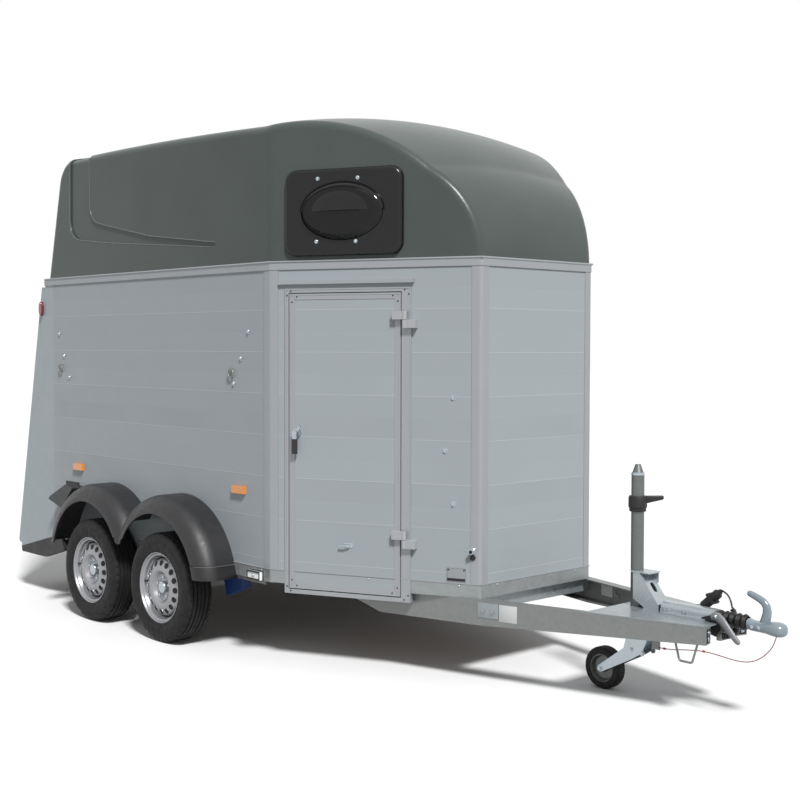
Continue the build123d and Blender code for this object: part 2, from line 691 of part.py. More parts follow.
PORTAL_LOW = 285
portal_y = (-HALF_WIDTH, -HALF_WIDTH + PORTAL_T)
portal_face = side_face(
    (ramp_line(BAND_LOW), BAND_LOW),
    (SIDE_REAR_X, BAND_LOW),
    (SIDE_REAR_X, RIM_HIGH),
    (PORTAL_FOOT_X, RIM_HIGH),
    (PORTAL_FOOT_X, RIM_LOW),
    (ramp_line(PORTAL_LOW), PORTAL_LOW),
)
PARTS["portal_plates"] = pair(across(portal_face, *portal_y))
CHEEK_T = PORTAL_T
CHEEK_LOW = 250
CHEEK_FRONT = (-1373, 320)
cheek_face = side_face(
    (ramp_line(PORTAL_LOW), PORTAL_LOW),
    (PORTAL_FOOT_X, RIM_LOW),
    CHEEK_FRONT,
    (-1625, CHEEK_LOW),
    (ramp_line(PORTAL_LOW) + 8, CHEEK_LOW),
)
LAMP_BOARD_X = (ramp_line(PORTAL_LOW) + 8, ramp_line(PORTAL_LOW) + 20)
LAMP_BOARD_Z = (240, 296)
lamp_board = block(LAMP_BOARD_X, (-HALF_WIDTH + CHEEK_T, HALF_WIDTH - CHEEK_T), LAMP_BOARD_Z)
cheek = across(cheek_face, -HALF_WIDTH, -HALF_WIDTH + CHEEK_T)
PARTS["lamp_board"] = lamp_board + cheek + left_of(cheek)
LAMP_T = 26
LAMP_SPAN = (-HALF_WIDTH + 32, -HALF_WIDTH + 252)
LAMP_Z = (242, 284)
lamp = block((LAMP_BOARD_X[0] - LAMP_T, LAMP_BOARD_X[0]), LAMP_SPAN, LAMP_Z)
TOP_LAMP_Z = 1860
TOP_LAMP_HALF = (22, 46)
TOP_LAMP_T = 18
top_lamp_face = Pos(ramp_line(TOP_LAMP_Z) - TOP_LAMP_HALF[0] / 2, 0, TOP_LAMP_Z) * Rot(90, 0, 0) * Ellipse(*TOP_LAMP_HALF)
top_lamp = across(top_lamp_face, -HALF_WIDTH - TOP_LAMP_T, -HALF_WIDTH)
top_lamp = fillet(top_lamp.edges().filter_by(lambda e: e.center().Y < -HALF_WIDTH - TOP_LAMP_T / 2), TOP_LAMP_T / 3)
PARTS["rear_lamps"] = pair(Compound([lamp.solid(), top_lamp.solid()]))
ramp_lean = atan2(RAMP_TOP[0] - RAMP_FOOT[0], RAMP_TOP[1] - RAMP_FOOT[1])
ramp_out = RAMP_GAP + RAMP_T / 2
RAMP_AXIS_Z = RAMP_FOOT[1] + RAMP_HINGE_UP
RAMP_AXIS_X = ramp_line(RAMP_AXIS_Z) - ramp_out / cos(ramp_lean)
ramp_length = (RAMP_TOP[1] - RAMP_AXIS_Z) / cos(ramp_lean)
RAMP = Pos(RAMP_AXIS_X, 0, RAMP_AXIS_Z) * Rot(0, degrees(ramp_lean), 0)
RAMP_PIN_R = 8
RAMP_PIN_FIT = 0.3
RAMP_PIN_OUT = 30
EYE_W = 50
EYE_R = 20
EYE_Y = HALF_WIDTH - 292
EYE_YS = (-EYE_Y, 0, EYE_Y)
NOTCH_UP = 90
ramp_panel = block((-RAMP_T / 2, RAMP_T / 2), (-RAMP_HALF_W, RAMP_HALF_W), (0, ramp_length))
ramp_panel = ramp_panel + rod_y(0, 0, RAMP_T / 2, -RAMP_HALF_W, RAMP_HALF_W)
for eye_y in EYE_YS:
    notch_y = (eye_y - EYE_W / 2 - RAMP_GAP, eye_y + EYE_W / 2 + RAMP_GAP)
    ramp_panel = ramp_panel - block((-RAMP_T, RAMP_T), notch_y, (-RAMP_T, NOTCH_UP))
    pin_y = (eye_y - EYE_W / 2 - RAMP_PIN_OUT, eye_y + EYE_W / 2 + RAMP_PIN_OUT)
    ramp_panel = ramp_panel - rod_y(0, 0, RAMP_PIN_R + RAMP_PIN_FIT, pin_y[0] - 1, pin_y[1] + 1)
PARTS["ramp_panel"] = RAMP * ramp_panel
RAMP_MAT_T = 6
RAMP_MAT_INSET = 70
RAMP_MAT_UP = 190
CLEAT_T = 12
CLEAT_W = 22
CLEAT_PITCH = 210
mat_top = ramp_length - RAMP_MAT_INSET
mat_y = (-RAMP_HALF_W + RAMP_MAT_INSET, RAMP_HALF_W - RAMP_MAT_INSET)
ramp_mat = block((RAMP_T / 2, RAMP_T / 2 + RAMP_MAT_T), mat_y, (RAMP_MAT_UP, mat_top))
cleat_z = RAMP_MAT_UP + CLEAT_PITCH / 2
while cleat_z < mat_top - CLEAT_W:
    ramp_mat = ramp_mat + block((RAMP_T / 2, RAMP_T / 2 + RAMP_MAT_T + CLEAT_T), mat_y, (cleat_z, cleat_z + CLEAT_W))
    cleat_z += CLEAT_PITCH
PARTS["ramp_mat"] = RAMP * ramp_mat

# Rear beam at the floor's edge, with three hinge eyes and their pins
BEAM_REAR_X = (FLOOR_REAR_X - 30, FLOOR_REAR_X)
rear_beam = block(BEAM_REAR_X, (-HALF_WIDTH + PORTAL_T, HALF_WIDTH - PORTAL_T), (CHASSIS_LOW - 20, mat_z[1]))
for eye_y in EYE_YS:
    eye_span = (eye_y - EYE_W / 2, eye_y + EYE_W / 2)
    arm_face = side_face(
        (RAMP_AXIS_X, RAMP_AXIS_Z + EYE_R),
        (BEAM_REAR_X[0], CHASSIS_LOW + EYE_R),
        (BEAM_REAR_X[0], CHASSIS_LOW - 20),
        (RAMP_AXIS_X, RAMP_AXIS_Z - EYE_R),
    )
    rear_beam = rear_beam + across(arm_face, *eye_span) + rod_y(RAMP_AXIS_X, RAMP_AXIS_Z, EYE_R, *eye_span)
    rear_beam = rear_beam + rod_y(
        RAMP_AXIS_X, RAMP_AXIS_Z, RAMP_PIN_R, eye_span[0] - RAMP_PIN_OUT, eye_span[1] + RAMP_PIN_OUT
    )
PARTS["rear_beam"] = rear_beam


# Groom's door: frame and hinge blocks on the wall, leaf and its hinge blocks outside
def panel_block(s, out, z):
    """A box on the angled panel: along it, outwards from it, up."""
    return PANEL * block(s, (-out[1], -out[0]), z)


def panel_pin(radius, z):
    """An upright round bar on the door's hinge axis."""
    return PANEL * rod_z(DOOR_AXIS_S, -DOOR_AXIS_OUT, radius, *z)


leaf_s = (DOOR_FRAME_FROM + DOOR_JAMB + DOOR_GAP, DOOR_FRAME_TO - DOOR_HINGE_JAMB - DOOR_GAP)
leaf_z = (DOOR_FRAME_LOW + DOOR_JAMB + DOOR_GAP, DOOR_FRAME_HIGH - DOOR_JAMB - DOOR_GAP)
clear_s = (leaf_s[0] - DOOR_GAP, leaf_s[1] + DOOR_GAP)
clear_z = (leaf_z[0] - DOOR_GAP, leaf_z[1] + DOOR_GAP)
frame_out = (-DOOR_FRAME_DEPTH, DOOR_FRAME_PROUD)
door_frame = panel_block((DOOR_FRAME_FROM, DOOR_FRAME_TO), frame_out, (DOOR_FRAME_LOW, DOOR_FRAME_HIGH))
door_frame = door_frame - panel_block(clear_s, (-2 * DOOR_FRAME_DEPTH, 2 * DOOR_FRAME_PROUD), clear_z)
DRIP_S = (53, 785)
DRIP_Z = (1933, 1952)
DRIP_OUT = 16
drip_rail = panel_block(DRIP_S, (0, DRIP_OUT), DRIP_Z)
PARTS["door_frame"] = Compound([door_frame.solid(), drip_rail.solid()])
PARTS["door_leaf"] = panel_block(leaf_s, (DOOR_PROUD - DOOR_T, DOOR_PROUD), leaf_z)

KNUCKLE_R = 12
KNUCKLE_GAP = 2
KNUCKLE_THICK = 10
frame_hinges = []
leaf_hinges = []
for hinge_low in HINGE_LOWS:
    low_z = (hinge_low, hinge_low + HINGE_SPAN)
    high_z = (low_z[1] + KNUCKLE_GAP, low_z[1] + KNUCKLE_GAP + HINGE_SPAN)
    strap_out = (DOOR_AXIS_OUT - KNUCKLE_THICK, DOOR_AXIS_OUT + KNUCKLE_THICK)
    on_frame = panel_pin(KNUCKLE_R, low_z) + panel_pin(HINGE_PIN_R, (low_z[0], high_z[1] - 4))
    on_frame = on_frame + panel_block((DOOR_AXIS_S, DOOR_AXIS_S + HINGE_REACH), (DOOR_FRAME_PROUD, strap_out[1]), low_z)
    on_frame = on_frame + panel_block((DOOR_FRAME_TO, DOOR_AXIS_S + HINGE_REACH), (0, strap_out[1]), low_z)
    frame_hinges.append(on_frame.solid())
    on_leaf = panel_pin(KNUCKLE_R, high_z)
    on_leaf = on_leaf + panel_block((DOOR_AXIS_S - HINGE_REACH, DOOR_AXIS_S), strap_out, high_z)
    on_leaf = on_leaf + panel_block((DOOR_AXIS_S - HINGE_REACH, leaf_s[1]), (DOOR_PROUD, strap_out[1]), high_z)
    leaf_hinges.append((on_leaf - panel_pin(HINGE_PIN_R + HINGE_FIT, (low_z[0], high_z[1] - 3))).solid())
PARTS["hinge_blocks_frame"] = Compound(frame_hinges)
PARTS["hinge_blocks_door"] = Compound(leaf_hinges)
HANDLE_R = 21
HANDLE_DROP = 108
handle = PANEL * Pos(HANDLE_S, -DOOR_PROUD, HANDLE_Z) * Rot(90, 0, 0) * Pos(0, 0, 7) * Cylinder(HANDLE_R, 14)
handle = handle + PANEL * Pos(HANDLE_S, -DOOR_PROUD - 14, HANDLE_Z) * Rot(90, 0, 0) * Pos(0, 0, 9) * Cylinder(9, 18)
handle = handle + panel_block(
    (HANDLE_S - 16, HANDLE_S + 8), (DOOR_PROUD + 18, DOOR_PROUD + 34), (HANDLE_Z - HANDLE_DROP, HANDLE_Z + 10)
)
PARTS["door_handle"] = handle

# Fittings on the side walls: lamps, tie rings and chocks
MARKER_XS = (511, -1173)
MARKER_SIZE = (106, 18, 41)
MARKER_Z = 870
markers = [
    Pos(x, -HALF_WIDTH - MARKER_SIZE[1] / 2, MARKER_Z) * Box(*MARKER_SIZE) for x in MARKER_XS
]
FRONT_LAMP_X = (652, 758)
FRONT_LAMP_Y = (-HALF_WIDTH - 58, -HALF_WIDTH - 34)
FRONT_LAMP_Z = (428, 470)
FRONT_LAMP_STEM = 12
front_lamp = block(FRONT_LAMP_X, FRONT_LAMP_Y, FRONT_LAMP_Z) + block(
    (sum(FRONT_LAMP_X) / 2 - FRONT_LAMP_STEM, sum(FRONT_LAMP_X) / 2 + FRONT_LAMP_STEM),
    (FRONT_LAMP_Y[1], -HALF_WIDTH - RIM_PROUD),
    (FRONT_LAMP_Z[0] + FRONT_LAMP_STEM, FRONT_LAMP_Z[1] - FRONT_LAMP_STEM),
)
PARTS["marker_lamps"] = pair(Compound([*[marker.solid() for marker in markers], front_lamp.solid()]))
RING_XS = (445, -1393)
RING_Z = 1501
RING_MEAN_R = 22
RING_WIRE_R = 4
rings = []
for ring_x in RING_XS:
    ring_y = -HALF_WIDTH - 12
    ring_wire = Pos(ring_x, ring_y, RING_Z - RING_MEAN_R) * Rot(90, 0, 0) * Torus(RING_MEAN_R, RING_WIRE_R)
    stem = rod_y(ring_x, RING_Z, 7, -HALF_WIDTH - 16, -HALF_WIDTH)
    rings.append((ring_wire + stem).solid())
PARTS["tie_rings"] = pair(Compound(rings))
CHOCK_T = 84
CHOCK_PLATE_T = 5
chock_face = side_face((-1415, 655), (-1395, 674), (-1200, 762), (-1112, 745), (-1250, 612))
chock = across(chock_face, -HALF_WIDTH - CHOCK_PLATE_T - CHOCK_T, -HALF_WIDTH - CHOCK_PLATE_T)
holder = block((-1340, -1180), (-HALF_WIDTH - CHOCK_PLATE_T, -HALF_WIDTH), (600, 770))
PARTS["chock_holder"] = holder
blue_face = side_face((300, CHASSIS_LOW), (470, CHASSIS_LOW), (470, CHASSIS_LOW - 50), (330, CHASSIS_LOW - 110))
PARTS["wheel_chocks"] = Compound([chock.solid(), across(blue_face, *chassis_y).solid()])

# Inside: a swinging partition on its post, with breast bars to the walls
PARTITION_POST_HIGH = 2130
PARTITION_REAR_X = -1230
PARTITION_Z = (760, 1720)
PARTITION_T = 38
PARTITION_GAP = 8
PARTITION_EYE_H = 60
BAR_R = 20
BAR_Z = 1120
post = rod_z(PARTITION_POST_X, 0, PARTITION_POST_R, floor_z[1], PARTITION_POST_HIGH)
bars = rod_y(PARTITION_POST_X, BAR_Z, BAR_R, -HALF_WIDTH + WALL_T, HALF_WIDTH - WALL_T)
PARTS["partition_post"] = post + bars
panel_front = PARTITION_POST_X - PARTITION_POST_R - PARTITION_GAP
partition = block((PARTITION_REAR_X, panel_front), (-PARTITION_T / 2, PARTITION_T / 2), PARTITION_Z)
partition = fillet(partition.edges().filter_by(Axis.Y), 90)
for eye_low in (PARTITION_Z[0] + 120, PARTITION_Z[1] - 120 - PARTITION_EYE_H):
    eye_z = (eye_low, eye_low + PARTITION_EYE_H)
    eye = rod_z(PARTITION_POST_X, 0, PARTITION_POST_R + 12, *eye_z)
    eye = eye + block((panel_front - 20, PARTITION_POST_X), (-12, 12), eye_z)
    partition = partition + (eye - rod_z(PARTITION_POST_X, 0, PARTITION_POST_R + 0.5, *eye_z))
PARTS["partition_panel"] = partition

# Overrun housing, shaft, bellows and ball coupling
SHAFT_Z = 435
HOUSING_FLANGE_T = 8
gusset_top = VEE_TOP + GUSSET_T
HOUSING_ROUND = (26, 36)
HOUSING_LUG = (53, 446)
HOUSING_LUG_T = 6


def housing_bar(x0, x1):
    """The overrun housing's rounded bar from x0 to x1, rounder below than above."""
    bar = block((x0, x1), (-HOUSING_R, HOUSING_R), (SHAFT_Z - HOUSING_R, HOUSING_Z))
    along = bar.edges().filter_by(Axis.X)
    bar = fillet(along.filter_by(lambda e: e.center().Z > SHAFT_Z), HOUSING_ROUND[0])
    low = bar.edges().filter_by(lambda e: e.center().Z < SHAFT_Z - HOUSING_R + 1).filter_by(Axis.X)
    return fillet(low, HOUSING_ROUND[1])


housing = housing_bar(*HOUSING_X)
lug_y = HOUSING_R + HOUSING_LUG_T
lug = block((HOUSING_X[0], HOUSING_X[0] + HOUSING_LUG[0]), (-lug_y, lug_y), (gusset_top, HOUSING_LUG[1]))
housing = housing + fillet(lug.edges().filter_by(Axis.Y).filter_by(lambda e: e.center().Z > SHAFT_Z), HOUSING_LUG_T * 2)
flange_x = (HOUSING_X[0] + 30, HOUSING_X[1] - 30)
housing = housing + block(flange_x, (-75, 75), (gusset_top, gusset_top + HOUSING_FLANGE_T))
PARTS["overrun_housing"] = housing
gusset = gusset - housing_bar(HOUSING_X[0], VEE_FRONT[0])
PARTS["drawbar_plates"] = Compound([gusset.solid(), drawbar_tie.solid()])
fold_count = 5
fold = (BELLOWS_X[1] - BELLOWS_X[0]) / fold_count
bellows_outline = [(SHAFT_R + 2, BELLOWS_X[0])]
for i in range(fold_count):
    start = BELLOWS_X[0] + i * fold
    bellows_outline += [(BELLOWS_R - 8, start), (BELLOWS_R, start + fold / 2)]
bellows_outline += [(BELLOWS_R - 8, BELLOWS_X[1]), (SHAFT_R + 2, BELLOWS_X[1])]
bellows_face = make_face(Polyline(*[(x, radius, 0) for radius, x in bellows_outline], close=True))
PARTS["bellows"] = Pos(0, 0, SHAFT_Z) * revolve(bellows_face, Axis.X)

head_tail_x = BELLOWS_X[1] + 6
head_plan = make_face(
    Polyline((head_tail_x, -30, 0), (COUPLING_BALL[0], -HEAD_R, 0))
    + ThreePointArc((COUPLING_BALL[0], -HEAD_R, 0), (COUPLING_NOSE_X, 0, 0), (COUPLING_BALL[0], HEAD_R, 0))
    + Polyline((COUPLING_BALL[0], HEAD_R, 0), (head_tail_x, 30, 0), (head_tail_x, -30, 0))
)
head_side = side_face(
    (head_tail_x, SHAFT_Z - SHAFT_R),
    (head_tail_x, SHAFT_Z + SHAFT_R - HEAD_DROP),
    (COUPLING_BALL[0] - HEAD_R, HEAD_TOP),
    (COUPLING_NOSE_X, HEAD_TOP - HEAD_DROP),
    (COUPLING_NOSE_X, COUPLING_BALL[1]),
    (COUPLING_BALL[0] - HEAD_R, COUPLING_BALL[1]),
)
head = upright(head_plan, COUPLING_BALL[1], HEAD_TOP) & across(head_side, -HEAD_R - 1, HEAD_R + 1)
head = fillet(head.faces().filter_by(lambda f: f.normal_at().Z > 0.7).edges(), HEAD_ROUND)
SOCKET_DOME = 14
head = head + rod_x(0, SHAFT_Z, SHAFT_R, HOUSING_X[1] - 20, head_tail_x + 10)
head = head - rod_z(COUPLING_BALL[0], 0, SOCKET_R, COUPLING_BALL[1], COUPLING_BALL[1] + SOCKET_DEPTH)
cone = Pos(COUPLING_BALL[0], 0, COUPLING_BALL[1] + SOCKET_DEPTH + SOCKET_DOME / 2) * Cone(SOCKET_R, 12, SOCKET_DOME)
PARTS["coupling_head"] = head - cone
PARTS["overrun_housing"] = PARTS["overrun_housing"] - rod_x(0, SHAFT_Z, SHAFT_R, HOUSING_X[1] - 20, HOUSING_X[1])


def bent_bar(points, radius, bend):
    """A round bar along a path of straight runs and bends."""
    path = FilletPolyline(*points, radius=bend)
    return sweep(Plane(origin=path @ 0, z_dir=path % 0) * Circle(radius), path)


HANDLE_HALF_W = 14
HANDLE_POINTS = ((-81, 65), (-31, 65), (-36, 131), (-56, 155), (-137, 188), (-149, 159), (-130, 153), (-84, 123))
handle_side = side_face(*[(COUPLING_BALL[0] + x, COUPLING_BALL[1] + z) for x, z in HANDLE_POINTS])
coupling_handle = across(handle_side, -HANDLE_HALF_W, HANDLE_HALF_W)
HANDLE_ROUND = 8
coupling_handle = fillet(
    coupling_handle.edges().filter_by(lambda e: e.center().Z > HEAD_TOP + HANDLE_ROUND), HANDLE_ROUND
)
PARTS["coupling_handle"] = coupling_handle - PARTS["coupling_head"]

# Handbrake: a ratchet plate on the housing's side and the lever outside it
RATCHET_Y = (-58, -HOUSING_R + 8)
LEVER_Y = (-76, -58)
RATCHET_POINTS = ((-49, 1), (11, 23), (49, 3), (51, -39), (27, -73), (-19, -63))
ratchet_side = side_face(*[(HOUSING_X[1] + x, SHAFT_Z + z) for x, z in RATCHET_POINTS])
ratchet = across(ratchet_side, *RATCHET_Y)
for neighbour in ("overrun_housing", "drawbar_rails", "drawbar_plates", "bellows"):
    ratchet = ratchet - PARTS[neighbour]
PARTS["handbrake_ratchet"] = max(ratchet.solids(), key=lambda s: s.volume)
LEVER_POINTS = ((9, 7), (32, 39), (65, 30), (98, 0), (159, -74), (147, -94), (85, -39))
lever_side = side_face(*[(HOUSING_X[1] + x, SHAFT_Z + z) for x, z in LEVER_POINTS])
lever = across(lever_side, *LEVER_Y)
PARTS["handbrake_lever"] = fillet(lever.edges().filter_by(Axis.Y), 6)


def vee_bottom(x):
    """Height of the drawbar rails' underside near their front end."""
    share = (VEE_FRONT[0] - x) / (vee_length - VEE_MIDDLE) * vee_length / vee_run[0]
    return VEE_FRONT_Z - (VEE_FRONT_Z - VEE_DEEP_Z) * share


# Under the drawbar: a bent rod loop below the right-hand rail and a plate that the cable hangs from
LOOP_R = 5
LOOP_Y = -152
LOOP_X = (2717, 2832)
LOOP_FOOT_X = (2740, 2805)
LOOP_Z = 252
rod_loop = bent_bar(
    (
        (LOOP_X[0], LOOP_Y, vee_bottom(LOOP_X[0])),
        (LOOP_FOOT_X[0], LOOP_Y, LOOP_Z),
        (LOOP_FOOT_X[1], LOOP_Y, LOOP_Z),
        (LOOP_X[1], LOOP_Y, vee_bottom(LOOP_X[1])),
    ),
    LOOP_R,
    14,
)
ANCHOR_X = (2524, 2566)
ANCHOR_Y = (-53, -47)
ANCHOR_LOW = 250
anchor = block(ANCHOR_X, ANCHOR_Y, (ANCHOR_LOW, gusset_low))
LEAD_CLIP_X = (2840, 2862)
LEAD_CLIP_Z = (338, 376)
lead_clip = block(LEAD_CLIP_X, (-20, 56), LEAD_CLIP_Z) + block(LEAD_CLIP_X, (42, 56), (LEAD_CLIP_Z[1], gusset_low))

# Plug of the electric lead, parked in a holder behind the housing
PLUG_AT = (2722, 62, 462)
PLUG_TILT = 48
PLUG_R = 22
PLUG_LONG = 96
plug_axis = Plane(origin=PLUG_AT, x_dir=(0, 1, 0), z_dir=(sin(radians(PLUG_TILT)), 0, cos(radians(PLUG_TILT))))
plug = plug_axis.location * Pos(0, 0, PLUG_LONG / 2) * Cylinder(PLUG_R, PLUG_LONG)
plug = plug + plug_axis.location * Pos(0, 0, PLUG_LONG + 12) * Cone(PLUG_R - 4, 8, 24)
plug_cap = plug_axis.location * Pos(0, 0, 58) * Box(2 * PLUG_R + 6, 2 * PLUG_R + 10, 12)
PARTS["electric_plug"] = plug + plug_cap
plug_holder = block((2690, 2745), (48, 75), (gusset_top + HOUSING_FLANGE_T, PLUG_AT[2] + 4))
PARTS["overrun_housing"] = PARTS["overrun_housing"] + (plug_holder - plug)

# Jockey wheel: bracket, outer tube, sliding leg, swivelling fork and wheel
bracket_side = side_face(
    (BRACKET_FOOT_X, gusset_top),
    (BRACKET_REAR_X, BRACKET_REAR_LOW),
    (BRACKET_REAR_X, BRACKET_TOP - BRACKET_SHEET),
    (BRACKET_BROW_X, BRACKET_TOP - BRACKET_SHEET),
    BRACKET_NOSE,
    (BRACKET_NOSE[0], gusset_top),
)
bracket = across(bracket_side, -BRACKET_HALF_W, BRACKET_HALF_W)
bracket_gap = BRACKET_HALF_W - BRACKET_SHEET
bracket_inside = offset(bracket_side, -BRACKET_SHEET, kind=Kind.INTERSECTION)
bracket = bracket - across(bracket_inside, -bracket_gap, bracket_gap)
bracket_front = (BRACKET_BROW_X + BRACKET_SHEET, BRACKET_NOSE[0] + 1)
bracket = bracket - block(bracket_front, (-bracket_gap, bracket_gap), (gusset_top, BRACKET_NOSE[1]))
bracket = bracket - block((0, BRACKET_BROW_X), (-bracket_gap, bracket_gap), (gusset_top, BRACKET_TOP - 2 * BRACKET_SHEET))
BRACKET_CAP = (2396, 2502)
BRACKET_CAP_OUT = 3
cap_y = BRACKET_HALF_W + BRACKET_CAP_OUT
bracket_cap = block(BRACKET_CAP, (-cap_y, cap_y), (BRACKET_TOP - BRACKET_SHEET, BRACKET_TOP))
BRACKET_CAP_R = 12
bracket_cap = fillet(bracket_cap.edges().filter_by(Axis.Z).filter_by(lambda e: e.center().X > POST_X + TUBE_R), BRACKET_CAP_R)
BRACKET_EAR_LOW = 535
ear_x = (BRACKET_BROW_X, BRACKET_CAP[1] - BRACKET_CAP_R)
bracket_ear = block(ear_x, (cap_y - BRACKET_SHEET, cap_y), (BRACKET_EAR_LOW, BRACKET_TOP))
bracket = bracket + bracket_cap + bracket_ear
bracket = bracket - rod_z(POST_X, 0, TUBE_R, gusset_top, BRACKET_TOP + 1)
BRACKET_HOLE_AT = (2494, 521)
BRACKET_HOLE = (50, 27)
front_run = BRACKET_NOSE[0] - BRACKET_BROW_X
front_fall = BRACKET_TOP - BRACKET_SHEET - BRACKET_NOSE[1]
hole_plane = Plane(
    origin=(BRACKET_HOLE_AT[0], 0, BRACKET_HOLE_AT[1]), x_dir=(-front_run, 0, front_fall), z_dir=(front_fall, 0, front_run)
)
PARTS["jockey_bracket"] = bracket - hole_plane * extrude(SlotOverall(*BRACKET_HOLE), amount=2 * BRACKET_SHEET, both=True)
TUBE_BORE_R = LEG_R + 0.4
JOCKEY_TUBE_LOW = 400
tube = rod_z(POST_X, 0, TUBE_R, JOCKEY_TUBE_LOW, TUBE_HIGH)
tube = tube + Pos(POST_X, 0, (TUBE_HIGH + CAP_HIGH) / 2) * Cone(TUBE_R - 2, 12, CAP_HIGH - TUBE_HIGH)
PARTS["jockey_tube"] = tube - rod_z(POST_X, 0, TUBE_BORE_R, JOCKEY_TUBE_LOW, TUBE_HIGH - 6)
collar = rod_z(POST_X, 0, COLLAR_R, COLLAR_LOW, COLLAR_HIGH)
COLLAR_ARM = 118
COLLAR_ARM_TURN = 42
collar_arm = Rot(0, 0, COLLAR_ARM_TURN) * block((0, COLLAR_ARM), (-13, 13), (COLLAR_HIGH - 30, COLLAR_HIGH + 4))
collar = collar + Pos(POST_X, 0, 0) * collar_arm
PARTS["jockey_collar"] = collar - rod_z(POST_X, 0, TUBE_R, COLLAR_LOW - 1, COLLAR_HIGH + 10)
JOCKEY_TRAVEL = 95
FORK_TOP = JOCKEY_TUBE_LOW - JOCKEY_TRAVEL - 5
FORK_PLATE_T = 8
SWIVEL_PIN_R = 12
SWIVEL_FIT = 0.1
leg_top = TUBE_HIGH - 6 - JOCKEY_TRAVEL - 10
swivel_low = FORK_TOP - FORK_PLATE_T - 6
leg = rod_z(POST_X, 0, LEG_R, FORK_TOP + 0.3, leg_top)
leg = leg + rod_z(POST_X, 0, SWIVEL_PIN_R, swivel_low, FORK_TOP + 1)
PARTS["jockey_leg"] = leg + rod_z(POST_X, 0, SWIVEL_PIN_R + 6, swivel_low - 5, FORK_TOP - FORK_PLATE_T - 0.3)
fork_y = JOCKEY_HALF_W + 4
fork_side = side_face(
    (JOCKEY_HUB[0] - 12, JOCKEY_HUB[1] + 12),
    (2354, 221),
    (2366, FORK_TOP - 40),
    (2366, FORK_TOP),
    (2478, FORK_TOP),
    (2480, FORK_TOP - 30),
    (2456, 212),
    (2401, 177),
    (JOCKEY_HUB[0] + 16, JOCKEY_HUB[1] - 10),
    (JOCKEY_HUB[0], JOCKEY_HUB[1] - 16),
    (JOCKEY_HUB[0] - 15, JOCKEY_HUB[1] - 4),
)
fork = across(fork_side, -fork_y - JOCKEY_ARM_T, -fork_y)
fork = fork + left_of(fork)
fork = fork + block((2366, 2478), (-fork_y - JOCKEY_ARM_T, fork_y + JOCKEY_ARM_T), (FORK_TOP - FORK_PLATE_T, FORK_TOP))
fork = fork + rod_y(JOCKEY_HUB[0], JOCKEY_HUB[1], JOCKEY_PIN_R, -fork_y - JOCKEY_ARM_T, fork_y + JOCKEY_ARM_T)
PARTS["jockey_fork"] = fork - rod_z(POST_X, 0, SWIVEL_PIN_R + SWIVEL_FIT, FORK_TOP - FORK_PLATE_T - 1, FORK_TOP + 1)
jockey_tyre = rod_y(0, 0, JOCKEY_R, -JOCKEY_HALF_W, JOCKEY_HALF_W)
jockey_tyre = fillet(jockey_tyre.edges(), 12) - rod_y(0, 0, JOCKEY_RIM_R, -JOCKEY_HALF_W, JOCKEY_HALF_W)
jockey_rim = spin_y(
    [
        (JOCKEY_PIN_R + 0.1, -fork_y + 0.4),
        (20, -fork_y + 0.4),
        (22, -8),
        (52, -8),
        (JOCKEY_RIM_R - 4, -JOCKEY_HALF_W + 2),
        (JOCKEY_RIM_R, -JOCKEY_HALF_W + 2),
        (JOCKEY_RIM_R, JOCKEY_HALF_W - 2),
        (JOCKEY_RIM_R - 4, JOCKEY_HALF_W - 2),
        (52, 8),
        (22, 8),
        (20, fork_y - 0.4),
        (JOCKEY_PIN_R + 0.1, fork_y - 0.4),
    ],
    0,
    0,
    0,
)
hub_at = Pos(JOCKEY_HUB[0], 0, JOCKEY_HUB[1])
PARTS["jockey_tyre"] = hub_at * jockey_tyre
PARTS["jockey_rim"] = hub_at * jockey_rim


# Free cords: tubes along straight runs and arcs
def cord_tube(label, points, diameter):
    """A plain tube along a cord's route, with arcs as large as its runs allow; prints their radii."""
    vectors = [Vector(*p) for p in points]
    radii = []
    for before, here, after in zip(vectors, vectors[1:], vectors[2:]):
        turn = radians((here - before).get_angle(after - here))
        shorter = min((here - before).length, (after - here).length)
        radii.append(0.45 * shorter / (sin(turn / 2) / cos(turn / 2)))
    path = FilletPolyline(*points, radius=radii)
    tube = sweep(Plane(origin=path @ 0, z_dir=path % 0) * Circle(diameter / 2), path)
    print(label, "length", round(path.length), "least radius", round(min(radii)), "volume ratio",
          round(tube.volume / (3.14159 * diameter * diameter / 4 * path.length), 3))
    return tube


BREAKAWAY_D = 4
BREAKAWAY_ROUTE = (
    (2562, -55, 262), (2606, -56, 263), (2650, -55, 268), (2695, -53, 275), (2740, -52, 281), (2786, -52, 286),
    (2832, -51, 285), (2876, -49, 281), (2920, -46, 275), (2964, -44, 272), (3006, -43, 275), (3044, -42, 287),
    (3078, -40, 308), (3106, -38, 336), (3128, -36, 366), (3139, -34, 397),
)
PARTS["breakaway_cable"] = cord_tube("breakaway cable", BREAKAWAY_ROUTE, BREAKAWAY_D)
LEAD_D = 8
LEAD_ROUTE = (
    (2812, 62, 543), (2836, 61, 535), (2854, 58, 518), (2866, 55, 496), (2872, 53, 473),
)
PARTS["plug_lead"] = cord_tube("plug lead", LEAD_ROUTE, LEAD_D)
PARTS["electric_plug"] = PARTS["electric_plug"] - PARTS["plug_lead"]
CURLY_D = 30
CURLY_ROUTE = (
    (2872, 53, 473), (2882, 55, 447), (2893, 56, 420), (2901, 50, 393), (2901, 32, 370), (2887, 8, 358),
    (2860, -4, 357),
)
PARTS["curly_lead"] = cord_tube("curly lead", CURLY_ROUTE, CURLY_D) - PARTS["plug_lead"]
PARTS["drawbar_loops"] = Compound(
    [(rod_loop - PARTS["drawbar_rails"]).solid(), anchor.solid(), (lead_clip - PARTS["curly_lead"]).solid()]
)

